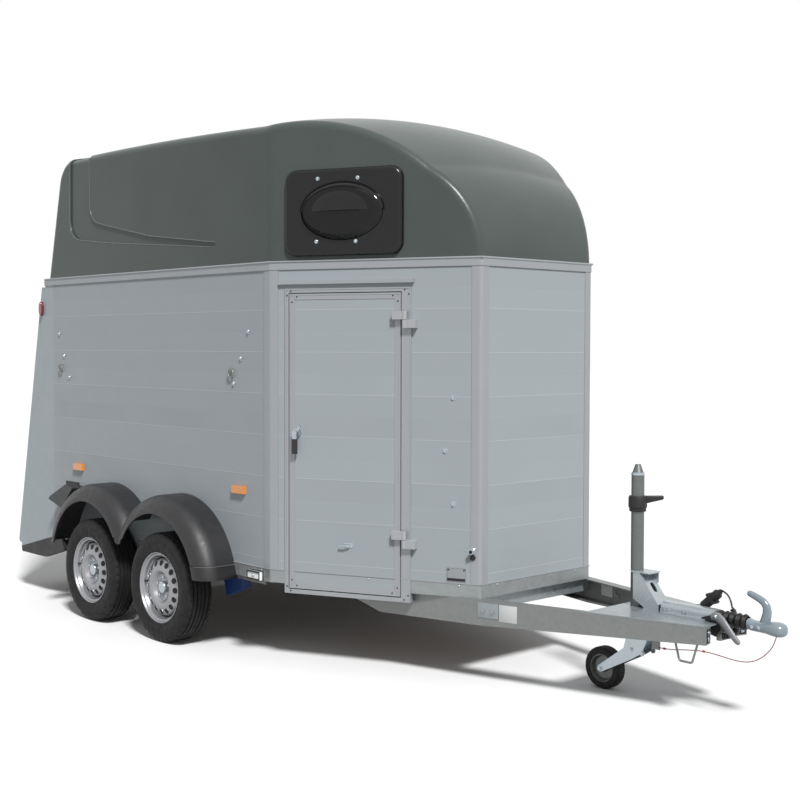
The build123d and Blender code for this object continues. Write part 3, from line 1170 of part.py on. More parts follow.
if __name__ == "__main__":
    os.makedirs("parts", exist_ok=True)
    boxes = [shape.bounding_box() for shape in PARTS.values()]
    centre_x = (min(b.min.X for b in boxes) + max(b.max.X for b in boxes)) / 2
    floor_z = min(b.min.Z for b in boxes)
    print("origin moved by", round(-centre_x, 3), round(-floor_z, 3))
    for name, shape in PARTS.items():
        export_step(Pos(-centre_x, 0, -floor_z) * shape, f"parts/{name}.step")
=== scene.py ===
# %% [markdown]
# A two-horse trailer: pale plank walls under a dark moulded hood, a groom's door in the angled front
# corner, a ramp at the rear, four road wheels, and a drawbar with its coupling and jockey wheel. The CAD
# model already gives every rigid part its place. This lesson loads it, gives each part a finish, and
# adds what Blender makes better: tyres, fastenings, castings, cloth and cords. The sizes below are read
# from the loaded parts or are those of the CAD source, in millimetres.

# %% The frame and its scale
import json
from math import atan2, copysign, cos, hypot, pi, radians, sin

import bmesh
import bpy
from mathutils import Matrix, Vector


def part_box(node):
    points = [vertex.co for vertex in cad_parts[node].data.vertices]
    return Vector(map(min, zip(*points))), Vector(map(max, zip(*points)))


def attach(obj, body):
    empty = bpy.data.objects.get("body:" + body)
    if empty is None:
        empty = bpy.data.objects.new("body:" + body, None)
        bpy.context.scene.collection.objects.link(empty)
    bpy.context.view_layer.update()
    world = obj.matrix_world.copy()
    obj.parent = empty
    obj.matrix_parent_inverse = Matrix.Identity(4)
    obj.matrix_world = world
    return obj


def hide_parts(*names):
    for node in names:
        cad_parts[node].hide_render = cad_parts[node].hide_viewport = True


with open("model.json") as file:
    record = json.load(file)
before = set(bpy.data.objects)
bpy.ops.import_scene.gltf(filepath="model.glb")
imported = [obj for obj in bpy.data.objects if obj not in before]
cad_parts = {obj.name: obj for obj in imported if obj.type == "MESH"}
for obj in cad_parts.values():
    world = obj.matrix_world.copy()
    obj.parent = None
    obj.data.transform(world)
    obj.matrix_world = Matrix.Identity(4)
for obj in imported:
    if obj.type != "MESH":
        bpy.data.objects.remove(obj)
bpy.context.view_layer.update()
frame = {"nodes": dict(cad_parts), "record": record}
nodes = frame["nodes"]

tyre_low, tyre_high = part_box("tyre_front_right")
AXLE_X = (tyre_low[0] + tyre_high[0]) / 2
REAR_AXLE = -746.5
WHEEL_Z = 300
WHEEL_Y = 992.5
HALF_WIDTH = 892
HANDLE_S, HANDLE_Z = 157, 1189
CORNER_B = (772, -892)
CORNER_C = (1791, -411)
print(f"{len(nodes)} CAD parts, front axle at x = {AXLE_X:.3f} m")


# %% [markdown]
# Sizes on a trailer are measured from something: here from the front axle, or along the angled panel
# that holds the groom's door. Two small functions turn such measures into points in metres, and a third
# gives the same point on the trailer's left. Writing the places this way keeps the numbers that one
# would read off a drawing.

# %% Places on the trailer
def at(x, y, z):
    """A place in the part's own millimetres, measured from the front axle, as a point in the frame."""
    return Vector((AXLE_X + x / 1000, y / 1000, z / 1000))


PANEL_LENGTH = hypot(CORNER_C[0] - CORNER_B[0], CORNER_C[1] - CORNER_B[1])
PANEL_ALONG = Vector((CORNER_C[0] - CORNER_B[0], CORNER_C[1] - CORNER_B[1], 0)) / PANEL_LENGTH
PANEL_OUT = Vector((PANEL_ALONG.y, -PANEL_ALONG.x, 0))


def on_panel(s, out, z):
    """A point on the angled panel: along it from the door-side corner, outwards from its face, up."""
    return at(*CORNER_B, z) + (PANEL_ALONG * s + PANEL_OUT * out) / 1000


def mirrored(point):
    """The same point or direction on the trailer's left."""
    return Vector((point[0], -point[1], point[2]))


# %% [markdown]
# Each finish is a node graph that reads object coordinates, so that a pattern stays fixed to its part
# when the part moves. Graphs are quick to draw by hand but long to write, so one class holds the few
# steps that every finish here needs: noise for clouds and grain, a range that maps a value, a mix of two
# colours, and a bump.

# %% Material tools
def srgb(red, green, blue):
    """A colour given as 0-255 screen values, in the renderer's linear values."""
    return tuple((value / 255 / 12.92) if value < 11 else ((value / 255 + 0.055) / 1.055) ** 2.4
                 for value in (red, green, blue)) + (1.0,)


NOISE_LOW, NOISE_HIGH = 0.3, 0.7


class Graph:
    """One procedural material, built from small steps on object coordinates."""

    def __init__(self, name, roughness=0.5, metallic=0.0, **settings):
        self.material = bpy.data.materials.new(name)
        self.material.use_nodes = True
        self.tree = self.material.node_tree
        self.shader = self.tree.nodes["Principled BSDF"]
        self.shader.inputs["Roughness"].default_value = roughness
        self.shader.inputs["Metallic"].default_value = metallic
        for socket, value in settings.items():
            self.shader.inputs[socket.replace("_", " ")].default_value = value
        self.coords = self.tree.nodes.new("ShaderNodeTexCoord").outputs["Object"]

    def feed(self, socket, value):
        """Links a socket to a value that is another socket, or sets it."""
        if isinstance(value, bpy.types.NodeSocket):
            self.tree.links.new(value, socket)
        else:
            socket.default_value = value

    def math(self, operation, first, second=0.0, third=0.0):
        """One Math node."""
        node = self.tree.nodes.new("ShaderNodeMath")
        node.operation = operation
        for socket, value in zip(node.inputs, (first, second, third)):
            self.feed(socket, value)
        return node.outputs[0]

    def axis(self, letter):
        """One coordinate of the part, in metres."""
        node = self.tree.nodes.new("ShaderNodeSeparateXYZ")
        self.feed(node.inputs[0], self.coords)
        return node.outputs[letter]

    def noise(self, scale, detail=4.0, stretch=(1, 1, 1)):
        """Soft noise between 0 and 1, about 0.5."""
        mapping = self.tree.nodes.new("ShaderNodeMapping")
        self.feed(mapping.inputs["Vector"], self.coords)
        mapping.inputs["Scale"].default_value = stretch
        node = self.tree.nodes.new("ShaderNodeTexNoise")
        self.feed(node.inputs["Vector"], mapping.outputs[0])
        node.inputs["Scale"].default_value = scale
        node.inputs["Detail"].default_value = detail
        return node.outputs[0]

    def cells(self, scale):
        """Voronoi cells, each with a value of its own."""
        node = self.tree.nodes.new("ShaderNodeTexVoronoi")
        self.feed(node.inputs["Vector"], self.coords)
        node.inputs["Scale"].default_value = scale
        separate = self.tree.nodes.new("ShaderNodeSeparateColor")
        self.feed(separate.inputs[0], node.outputs["Color"])
        return separate.outputs[0]

    def span(self, value, low, high, to_low=0.0, to_high=1.0):
        """A Map Range node, held at both ends."""
        node = self.tree.nodes.new("ShaderNodeMapRange")
        for socket, number in zip(node.inputs, (value, low, high, to_low, to_high)):
            self.feed(socket, number)
        return node.outputs[0]

    def mix(self, share, first, second):
        """A mix of two colours."""
        node = self.tree.nodes.new("ShaderNodeMix")
        node.data_type = "RGBA"
        self.feed(node.inputs[0], share)
        self.feed(node.inputs[6], first)
        self.feed(node.inputs[7], second)
        return node.outputs[2]

    def colour(self, value):
        """The base colour."""
        self.feed(self.shader.inputs["Base Color"], value)

    def rough(self, value):
        """The roughness: 0 is a mirror, 1 is chalk."""
        self.feed(self.shader.inputs["Roughness"], value)

    def uneven_gloss(self, scale, smoothest, roughest, detail=4.0):
        """Roughness that wanders between two values."""
        self.rough(self.span(self.noise(scale, detail), NOISE_LOW, NOISE_HIGH, smoothest, roughest))

    def clouded(self, scale, colour, darkest, lightest):
        """A colour with soft clouds, as factors of its own brightness."""
        self.colour(self.mix(self.noise(scale), shade(colour, darkest), shade(colour, lightest)))

    def bump(self, height, strength, distance):
        """Fine relief that only bends the light."""
        node = self.tree.nodes.new("ShaderNodeBump")
        node.inputs["Strength"].default_value = strength
        node.inputs["Distance"].default_value = distance
        self.feed(node.inputs["Height"], height)
        self.feed(self.shader.inputs["Normal"], node.outputs[0])


# %% [markdown]
# Nothing real has one even colour and one even gloss. The plainest finish here already has broad clouds
# in its colour, a gloss that wanders, and a grain too fine to see as such. Plastics, rubber, plates and
# paint differ only in these few numbers, so one function makes them all.

# %% A plain finish
def shade(colour, factor):
    """A colour made darker or lighter."""
    return tuple(min(1.0, channel * factor) for channel in colour[:3]) + (1.0,)


def plain(name, colour, roughness, grain=400.0, grain_bump=0.15, spread=0.12, rough_spread=0.08,
          **settings):
    """A material with broad colour variation, uneven roughness and a fine grain."""
    graph = Graph(name, roughness, **settings)
    graph.clouded(6.0, colour, 1 - spread, 1 + spread)
    graph.uneven_gloss(22.0, roughness - rough_spread, roughness + rough_spread)
    graph.bump(graph.noise(grain, 2.0), grain_bump, 0.0006)
    return graph.material


# %% [markdown]
# The walls are hollow planks laid level, 212 mm high. A light seam shows where two planks meet, a faint
# line runs half way up each, and the tone changes a little from plank to plank. Modelling each plank
# would add thousands of faces for a step of half a millimetre, so the seams are drawn from the height
# alone.

# %% Plank walls
PLANK = 0.2125
PLANK_START = 0.742
SEAM_EDGE, MIDDLE_EDGE = (0.004, 0.014), (0.004, 0.012)


def planks(name, colour, seam_light):
    """Painted planks that lie level, with their seams."""
    graph = Graph(name, 0.42, 0.0, Specular_IOR_Level=0.3)
    along = graph.math("DIVIDE", graph.math("SUBTRACT", graph.axis("Z"), PLANK_START), PLANK)
    place = graph.math("FRACT", along)
    to_seam = graph.math("MINIMUM", place, graph.math("SUBTRACT", 1.0, place))
    seam = graph.span(to_seam, *SEAM_EDGE, 1.0, 0.0)
    to_middle = graph.math("ABSOLUTE", graph.math("SUBTRACT", place, 0.5))
    middle = graph.span(to_middle, *MIDDLE_EDGE, 1.0, 0.0)
    white = graph.tree.nodes.new("ShaderNodeTexWhiteNoise")
    white.noise_dimensions = "1D"
    graph.feed(white.inputs["W"], graph.math("FLOOR", graph.math("MULTIPLY", along, 2.0)))
    tone = graph.mix(white.outputs["Value"], shade(colour, 0.93), shade(colour, 1.04))
    clouded = graph.mix(graph.span(graph.noise(1.6), 0.35, 0.65), tone, shade(colour, 0.985))
    seamed = graph.mix(graph.math("MULTIPLY", seam, 0.75), clouded, shade(colour, seam_light))
    graph.colour(graph.mix(graph.math("MULTIPLY", middle, 0.35), seamed, shade(colour, 0.88)))
    graph.uneven_gloss(9.0, 0.34, 0.5)
    relief = graph.math("ADD", seam, graph.math("MULTIPLY", graph.noise(2.2, 2.0), 0.5))
    graph.bump(relief, 0.25, 0.002)
    return graph.material


# %% [markdown]
# Rails, tubes and brackets are dipped in molten zinc, which sets in crystals. Voronoi cells give each
# crystal its own tone and gloss. A low contrast and half the full metallic value keep the dull, pale
# grey of zinc that has stood outdoors for a while.

# %% Galvanised steel
def galvanised(name, colour, cell=60.0, roughness=0.42, contrast=0.06):
    """Zinc on steel: faint crystals and a dull, uneven gloss."""
    graph = Graph(name, roughness, 0.5)
    crystal = graph.cells(cell)
    graph.colour(graph.mix(crystal, shade(colour, 1 - contrast), shade(colour, 1 + contrast)))
    graph.rough(graph.span(crystal, 0.0, 1.0, roughness - contrast, roughness + 2 * contrast))
    graph.bump(graph.noise(30.0, 1.0), contrast / 2, 0.001)
    return graph.material


# %% [markdown]
# The mudguards are moulded in one piece over both wheels. Round each wheel arch the surface steps down,
# and a seam runs where the two arches meet. Both follow from the distance to the nearer axle, so the
# relief comes from a bump on that distance. The bead at the lip is larger, and is modelled further down.

# %% Mudguard plastic
ARCH_Z = 0.320
ARCH_STEP = (0.418, 0.424)
ARCH_SEAM = 0.006


def guard_plastic(name, colour):
    """Mudguard plastic with a step round each wheel arch and a seam between the two arches."""
    graph = Graph(name, 0.46)
    graph.clouded(5.0, colour, 0.85, 1.15)
    graph.uneven_gloss(30.0, 0.38, 0.56)
    height = graph.math("SUBTRACT", graph.axis("Z"), ARCH_Z)
    steps = []
    for axle in (0, REAR_AXLE):
        run = graph.math("SUBTRACT", graph.axis("X"), at(axle, 0, 0).x)
        squares = [graph.math("MULTIPLY", side, side) for side in (run, height)]
        steps.append(graph.math("SQRT", graph.math("ADD", *squares)))
    nearest = graph.math("MINIMUM", *steps)
    band = graph.span(nearest, *ARCH_STEP, 1.0, 0.0)
    apart = graph.math("ABSOLUTE", graph.math("SUBTRACT", steps[0], steps[1]))
    seam = graph.span(apart, 0.0, ARCH_SEAM, 0.0, 1.0)
    grain = graph.math("MULTIPLY", graph.noise(700.0, 2.0), 0.12)
    relief = graph.math("ADD", graph.math("ADD", band, seam), grain)
    graph.bump(relief, 0.5, 0.003)
    return graph.material


# %% [markdown]
# The lamps have ribbed lenses: amber at the sides, red at the rear, and colourless at the front. A coat
# over a ribbed bump gives the sharp highlights of moulded plastic. The front lamps share their CAD part
# with the side lamps and sit lower, so the height picks the colour.

# %% Lamp lenses
KNEE_HEIGHT = (0.49, 0.5)


def lens(name, colour, clear, ribs):
    """A ribbed lamp lens; below knee height it is the colourless front lamp."""
    graph = Graph(name, 0.16, 0.0, Coat_Weight=1.0, Coat_Roughness=0.05)
    low = graph.span(graph.axis("Z"), *KNEE_HEIGHT, 1.0, 0.0)
    tint = graph.mix(graph.noise(60.0), shade(colour, 0.85), shade(colour, 1.1))
    graph.colour(graph.mix(low, tint, clear) if clear else tint)
    wave = graph.math("SINE", graph.math("MULTIPLY", graph.axis("X"), ribs))
    graph.bump(graph.math("MULTIPLY", wave, 0.5), 0.35, 0.0012)
    return graph.material


# %% [markdown]
# Tyre rubber is dark, matt and dusty in patches. The wheel disc is silver, but the barrel behind it is
# painted dark as shade, which makes the hand holes look dark. A range across the wheel's width turns
# silver paint into painted shade just behind the disc, and on the whole inner side of the wheel.

# %% Rubber and wheel paint
def worn_rubber(name, colour):
    """Tyre rubber: matt, dusty in patches."""
    graph = Graph(name, 0.72, Specular_IOR_Level=0.3)
    dust = graph.span(graph.noise(14.0), 0.45, 0.75)
    graph.colour(graph.mix(dust, colour, shade(colour, 1.7)))
    graph.uneven_gloss(40.0, 0.6, 0.84)
    graph.bump(graph.noise(260.0, 3.0), 0.3, 0.001)
    return graph.material


DISC_SHADE = ((WHEEL_Y + 33) / 1000, (WHEEL_Y + 35) / 1000)


def wheel_paint(name, colour):
    """Silver paint on the disc and the rim's outside, with painted shade on what lies behind the disc."""
    graph = Graph(name, 0.34, 0.5)
    off_centre = graph.math("ABSOLUTE", graph.axis("Y"))
    # Painted shade: deeper than the disc, the silver turns dark grey, rough and not metallic.
    behind = graph.span(off_centre, *DISC_SHADE, 1.0, 0.0)
    silver = graph.mix(graph.noise(9.0), shade(colour, 0.9), shade(colour, 1.08))
    graph.colour(graph.mix(behind, silver, srgb(30, 30, 31)))
    graph.rough(graph.span(behind, 0.0, 1.0, 0.3, 0.8))
    graph.feed(graph.shader.inputs["Metallic"], graph.span(behind, 0.0, 1.0, 0.65, 0.0))
    graph.bump(graph.noise(200.0, 2.0), 0.05, 0.0006)
    return graph.material


# %% [markdown]
# Two small parts change colour along their length. One wheel chock is black and the one slung under the
# body is blue, and the door handle is plated at its rosette and black down its grip. A range on the
# height does both, and is simpler than splitting the parts.

# %% Chocks and door handle
UNDER_THE_BODY = (0.5, 0.51)


def chock_plastic(name, black, blue):
    """The chock on the wall is black and the one slung under the body is blue."""
    graph = Graph(name, 0.48)
    grain = graph.noise(12.0)
    low = graph.span(graph.axis("Z"), *UNDER_THE_BODY, 1.0, 0.0)
    on_the_wall = graph.mix(grain, shade(black, 0.85), shade(black, 1.2))
    graph.colour(graph.mix(low, on_the_wall, graph.mix(grain, shade(blue, 0.85), blue)))
    graph.uneven_gloss(30.0, 0.4, 0.56)
    graph.bump(graph.noise(500.0, 2.0), 0.2, 0.0006)
    return graph.material


GRIP_TOP = ((HANDLE_Z - 34) / 1000, (HANDLE_Z - 32) / 1000)


def handle_plating(name, colour):
    """The door handle: plated at its rosette, black down its grip."""
    graph = Graph(name, 0.25, 0.0)
    plated = graph.span(graph.axis("Z"), *GRIP_TOP)
    black = graph.mix(graph.noise(40.0), srgb(24, 24, 25), srgb(34, 34, 35))
    graph.colour(graph.mix(plated, black, colour))
    graph.feed(graph.shader.inputs["Metallic"], graph.span(plated, 0.0, 1.0, 0.0, 0.9))
    graph.uneven_gloss(30.0, 0.2, 0.34)
    graph.bump(graph.noise(300.0, 2.0), 0.05, 0.0006)
    return graph.material


# %% [markdown]
# The hood is a glossy moulding. Large mouldings are never quite flat, so a weak, slow wave in the bump
# bends the reflections. A very fine noise in the gloss takes the place of the flakes in its colour coat.

# %% Hood shell
def hood_gloss(name, colour):
    """Glossy moulded shell with flakes too fine to see and a slight waviness."""
    graph = Graph(name, 0.3, 0.0, Specular_IOR_Level=0.28)
    graph.colour(graph.mix(graph.span(graph.noise(2.5), 0.3, 0.7), shade(colour, 0.92), shade(colour, 1.08)))
    graph.uneven_gloss(1200.0, 0.24, 0.34, detail=1.0)
    graph.bump(graph.noise(3.0, 2.0), 0.06, 0.004)
    return graph.material


# %% [markdown]
# The curtain at the rear is a coated tarpaulin with a plain weave: two sine waves, one along each
# thread, multiplied. The floor is a film-faced board whose grain is a noise stretched along the trailer,
# and the matting on it has fine ribs from a single sine wave.

# %% Tarpaulin, boards and matting
THREADS = 900.0


def cloth(name, colour):
    """Coated tarpaulin: a plain weave under a slight sheen."""
    graph = Graph(name, 0.55, 0.0, Sheen_Weight=0.2)
    weft, warp = [graph.math("SINE", graph.math("MULTIPLY", graph.axis(letter), THREADS)) for letter in "YZ"]
    weave = graph.math("MULTIPLY", weft, warp)
    graph.clouded(9.0, colour, 0.85, 1.15)
    graph.uneven_gloss(25.0, 0.48, 0.64)
    graph.bump(weave, 0.25, 0.0006)
    return graph.material


def board(name, colour, stripe):
    """Film-faced board with a fine stripe of grain along X."""
    graph = Graph(name, 0.5)
    grain = graph.noise(8.0, 6.0, (1.0, 14.0, 14.0))
    graph.colour(graph.mix(grain, shade(colour, 1 - stripe), shade(colour, 1 + stripe)))
    graph.uneven_gloss(18.0, 0.42, 0.6)
    graph.bump(grain, 0.2, 0.001)
    return graph.material


def ribbed_mat(name, colour, pitch):
    """Rubber matting with fine ribs along the trailer."""
    graph = Graph(name, 0.7)
    ribs = graph.math("SINE", graph.math("MULTIPLY", graph.axis("Y"), 2 * pi / pitch))
    graph.clouded(7.0, colour, 0.8, 1.3)
    graph.uneven_gloss(30.0, 0.6, 0.8)
    graph.bump(ribs, 0.4, 0.002)
    return graph.material


# %% [markdown]
# All finishes are made once and kept by name. The colours are written as screen values, as they look in
# plain light, and turned into the renderer's linear values.

# %% The finishes
WALL = srgb(163, 170, 174)
LOOKS = {
    "hood_shell": hood_gloss("hood_shell_gloss", srgb(74, 82, 79)),
    "window_moulding": plain(
        "window_moulding", srgb(20, 20, 22), 0.28, 300.0, 0.05, Specular_IOR_Level=0.35),
    "tinted_pane": plain("tinted_pane", srgb(10, 10, 11), 0.14, 60.0, 0.02, Specular_IOR_Level=0.3),
    "smoked_visor": plain(
        "smoked_visor", srgb(14, 14, 16), 0.1, 60.0, 0.02, 0.12, 0.03, Specular_IOR_Level=0.4),
    "curtain_cloth": cloth("curtain_cloth", srgb(58, 62, 66)),
    "pale_extrusion": plain("pale_extrusion", srgb(158, 162, 165), 0.4, 90.0, 0.05, 0.03, metallic=0.2),
    "wall_planks": planks("wall_planks", WALL, 1.2),
    "portal_sheet": plain("portal_sheet", srgb(160, 170, 175), 0.4, 120.0, 0.06, 0.05, metallic=0.1),
    "galvanised_steel": galvanised("galvanised_steel", srgb(132, 135, 133)),
    "tube_steel": galvanised("tube_steel", srgb(108, 112, 111), 80.0, 0.34),
    "bright_zinc": galvanised("bright_zinc", srgb(150, 157, 160), 40.0, 0.3, 0.04),
    "smooth_zinc": galvanised("smooth_zinc", srgb(172, 180, 184), 25.0, 0.28, 0.03),
    "head_zinc": plain("head_zinc", srgb(138, 150, 158), 0.2, 90.0, 0.03, 0.06, 0.06, metallic=0.3),
    "handle_plating": handle_plating("handle_plating", srgb(176, 182, 186)),
    "rim_steel": galvanised("rim_steel", srgb(150, 154, 155), 45.0, 0.5),
    "floor_ply": board("floor_ply", srgb(96, 70, 48), 0.25),
    "mat_rubber": ribbed_mat("mat_rubber", srgb(40, 40, 40), 0.012),
    "black_plastic": plain("black_plastic", srgb(36, 36, 37), 0.5, 600.0, 0.3, Specular_IOR_Level=0.35),
    "guard_plastic": guard_plastic("guard_plastic", srgb(35, 35, 37)),
    "red_lens": lens("red_lens", srgb(112, 22, 24), None, 900.0),
    "amber_lens": lens("amber_lens", srgb(236, 142, 22), srgb(250, 251, 251), 900.0),
    "door_aluminium": plain("door_aluminium", srgb(160, 163, 166), 0.36, 90.0, 0.05, 0.04, metallic=0.3),
    "hinge_grey": plain("hinge_grey", srgb(168, 170, 173), 0.5, 500.0, 0.2, 0.04),
    "partition_board": plain("partition_board", srgb(92, 92, 95), 0.6, 500.0, 0.3),
    "bellows_rubber": plain("bellows_rubber", srgb(15, 15, 16), 0.5, 500.0, 0.2, Specular_IOR_Level=0.35),
    "zinc_plate": plain("zinc_plate", srgb(176, 186, 192), 0.2, 150.0, 0.06, 0.05, 0.07, metallic=0.9),
    "grey_plastic": plain("grey_plastic", srgb(128, 130, 134), 0.34, 500.0, 0.12),
    "lead_sheath": plain("lead_sheath", srgb(24, 24, 25), 0.42, 500.0, 0.15),
    "red_cable": plain("red_cable", srgb(128, 14, 22), 0.36, 500.0, 0.15),
    "chock_plastic": chock_plastic("chock_plastic", srgb(40, 41, 43), srgb(26, 58, 118)),
    "signal_red": plain("signal_red", srgb(190, 24, 24), 0.35, 300.0, 0.1),
    "tyre_rubber": worn_rubber("tyre_rubber", srgb(27, 26, 26)),
    "wheel_silver": wheel_paint("wheel_silver", srgb(156, 157, 160)),
    # The pale colour of the beads on the hood's recess edges is a painted highlight.
    "painted_hood_highlight": plain("painted_hood_highlight", srgb(104, 112, 110), 0.22, 300.0, 0.05),
    # The pale colour of the mudguard beads is a painted highlight.
    "painted_guard_highlight": plain("painted_guard_highlight", srgb(92, 92, 94), 0.4, 300.0, 0.05),
    "guard_band": plain("guard_band", srgb(22, 22, 23), 0.5, 600.0, 0.2),
    "seal_grey": plain("seal_grey", srgb(120, 122, 124), 0.6, 400.0, 0.15),
    "shadow_gap": plain("shadow_gap", srgb(14, 14, 15), 0.8, 300.0, 0.1),
    "blank_label": plain("blank_label", srgb(206, 208, 208), 0.35, 300.0, 0.05, 0.04),
    "plate_metal": plain("plate_metal", srgb(150, 154, 156), 0.3, 120.0, 0.05, 0.05, metallic=0.6),
}

# %% [markdown]
# A CAD part takes the finish that bears the name of its material slot, unless the table below names
# another one for it. Every slot of the part gets the same material, so no part is left grey.

# %% A finish for every CAD part
LOOK_OF_NODE = {
    "hood": "hood_shell", "window_frames": "window_moulding", "window_panes": "tinted_pane",
    "trim_band": "pale_extrusion", "corner_posts": "pale_extrusion", "base_rim": "rim_steel",
    "portal_plates": "portal_sheet", "door_frame": "door_aluminium", "door_leaf": "wall_planks",
    "side_walls": "wall_planks", "angled_walls": "wall_planks", "nose_wall": "wall_planks",
    "ramp_panel": "portal_sheet", "mudguards": "guard_plastic", "hinge_blocks_frame": "hinge_grey",
    "hinge_blocks_door": "hinge_grey", "jockey_tube": "tube_steel", "jockey_bracket": "smooth_zinc",
    "overrun_housing": "smooth_zinc", "drawbar_plates": "bright_zinc", "coupling_head": "head_zinc",
    "coupling_handle": "head_zinc", "door_handle": "handle_plating",
    "wheel_chocks": "chock_plastic", "jockey_rim": "tube_steel",
}
record = frame["record"]
slot_of = {part["node"]: part["material_slot"] for part in record["subparts"]}
for name, node in nodes.items():
    look = LOOKS[LOOK_OF_NODE.get(name, slot_of[name])]
    for material_slot in node.material_slots:
        material_slot.material = look
print(f"{len(LOOKS)} finishes, given to {len(nodes)} CAD parts")

# %% [markdown]
# Every added piece is a mesh that rides on the body that carries it, so that it follows that body's
# joint. Its normals are made to point outwards, and edges sharper than 38 degrees stay crisp while the
# rest is shaded smooth. The helper below finds the turn of a piece that sits on a surface: its Z points
# away from the surface.

# %% Adding a piece
SMOOTH_BELOW = radians(38)


def add_piece(name, bm, look, body):
    """Links a finished bmesh as a piece that rides on a body."""
    bmesh.ops.recalc_face_normals(bm, faces=bm.faces)
    mesh = bpy.data.meshes.new(name)
    bm.to_mesh(mesh)
    bm.free()
    mesh.polygons.foreach_set("use_smooth", [True] * len(mesh.polygons))
    mesh.set_sharp_from_angle(angle=SMOOTH_BELOW)
    piece = bpy.data.objects.new(name, mesh)
    bpy.context.scene.collection.objects.link(piece)
    mesh.materials.append(LOOKS[look])
    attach(piece, body)
    print(f"{name}: {len(mesh.polygons)} faces, carried by {body}")
    return piece


def facing(centre, out, up=(0, 0, 1)):
    """A matrix whose Z points outwards from a surface at centre, with Y as near to up as it can be."""
    z = Vector(out).normalized()
    x = Vector(up).cross(z)
    x = x.normalized() if x.length > 1e-6 else Vector((1, 0, 0))
    y = z.cross(x)
    return Matrix.Translation(Vector(centre)) @ Matrix((x, y, z)).transposed().to_4x4()


# %% [markdown]
# Screws, knobs, tyres and wheel discs are round. As on a lathe, a half outline is spun once round an
# axis. The first and last steps are merged, and the points on the axis are welded into one pole, which
# leaves no seam and no hole.

# %% Turned pieces
WELD = 1e-5


def turned(bm, profile, matrix, segments=24, close=False):
    """A half outline of (radius, height) points in millimetres, spun round the matrix's Z."""
    earlier = set(bm.verts)
    corners = [bm.verts.new(matrix @ (Vector((radius, 0, height)) / 1000)) for radius, height in profile]
    runs = [bm.edges.new(pair) for pair in zip(corners, corners[1:])]
    if close:
        runs.append(bm.edges.new((corners[-1], corners[0])))
    bmesh.ops.spin(bm, geom=corners + runs, cent=matrix.translation, axis=matrix.col[2].to_3d(),
                   dvec=(0, 0, 0), angle=2 * pi, steps=segments, use_merge=True)
    made = [vertex for vertex in bm.verts if vertex not in earlier]
    bmesh.ops.remove_doubles(bm, verts=made, dist=WELD)


# %% [markdown]
# Plates and blocks start as a cube of the wanted size, and a small bevel on every edge catches the light
# as a real rolled or sawn edge does.

# %% Plates
def slab(bm, matrix, size, bevel=1.0):
    """A box in millimetres with rounded edges, its foot on the matrix's plane."""
    width, height, depth = (side / 1000 for side in size)
    made = bmesh.ops.create_cube(bm, size=1.0)["verts"]
    place = matrix @ Matrix.Translation((0, 0, depth / 2)) @ Matrix.Diagonal((width, height, depth, 1))
    bmesh.ops.transform(bm, matrix=place, verts=made)
    soften(bm, made, bevel, 2)


def soften(bm, verts, radius, segments):
    """Bevels every edge that meets these vertices, by a radius in millimetres."""
    edges = list({edge for vert in verts for edge in vert.link_edges})
    bmesh.ops.bevel(bm, geom=edges, offset=radius / 1000, segments=segments, affect="EDGES", profile=0.5,
                    material=-1)


# %% [markdown]
# Beads, bars, hooks and castings keep an outline along their length. The outline is drawn once, and its
# edges are extruded from one place to the next. A matrix for each place holds where the outline goes,
# how it is turned and how large it is. A closed path is carried back to its start and welded there.

# %% Carried outlines
def carry_outline(bm, outline, places, closed=False):
    """An outline of (across, up) points in millimetres, extruded from each place matrix to the next."""
    ring = [bm.verts.new(places[0] @ (Vector((across, up, 0)) / 1000)) for across, up in outline]
    first = ring
    edges = [bm.edges.new(pair) for pair in zip(ring, ring[1:] + ring[:1])]
    if not closed:
        bm.faces.new(ring)
    for here, ahead in zip(places, places[1:] + (places[:1] if closed else [])):
        made = bmesh.ops.extrude_edge_only(bm, edges=edges)["geom"]
        ring = [item for item in made if isinstance(item, bmesh.types.BMVert)]
        edges = [item for item in made if isinstance(item, bmesh.types.BMEdge)]
        bmesh.ops.transform(bm, matrix=ahead @ here.inverted(), verts=ring)
    if closed:
        bmesh.ops.remove_doubles(bm, verts=first + ring, dist=2 * WELD)
    else:
        bmesh.ops.edgeloop_fill(bm, edges=edges)


def swept(bm, points, section, closed=False, up=(0, 0, 1)):
    """A section of (across, up) points in millimetres carried along a path of points in the frame."""
    places = []
    for i, point in enumerate(points):
        behind = points[i - 1] if closed or i else point
        beyond = points[(i + 1) % len(points)] if closed or i < len(points) - 1 else point
        ahead = (Vector(beyond) - Vector(behind)).normalized()
        side = ahead.cross(Vector(up)).normalized()
        turn = Matrix((side, side.cross(ahead), -ahead)).transposed().to_4x4()
        places.append(Matrix.Translation(Vector(point)) @ turn)
    carry_outline(bm, section, places, closed)


def circle_section(radius, sides=10):
    """A round section for a swept bar."""
    return [(radius * cos(2 * pi * i / sides), radius * sin(2 * pi * i / sides)) for i in range(sides)]


# %% [markdown]
# The walls, the rim and the door are held by rows of screws and rivets. Three outlines serve for all of
# them. All heads of one kind form one piece, because they share a finish and a body.

# %% Screw and rivet heads
DOME_HEAD = ((9, 0), (9, 2), (7.6, 5), (4.5, 7.2), (0, 8))
WASHER_HEAD = ((13, 0), (13, 2), (8.5, 2.4), (8.5, 7), (7, 9), (0, 9.4))
HEX_HEAD = ((12, 0), (12, 1.6), (8, 1.8), (8, 7.5), (6.5, 8.6), (0, 8.8))


def heads(name, places, profile, look, body, segments=16, scale=1.0):
    """Screw or rivet heads at (centre, outward direction) places, as one piece."""
    bm = bmesh.new()
    for centre, out in places:
        turned(bm, [(r * scale, h * scale) for r, h in profile], facing(centre, out), segments)
    return add_piece(name, bm, look, body)


# %% [markdown]
# A road tyre has grooves round its tread, notched shoulders and a rounded sidewall. The outline below
# goes from the middle of the tread out to the bead and is mirrored for the other half. It is spun round
# the wheel's axis. Then, at every fourth step, the shoulder's points are moved inwards, which makes the
# notches.

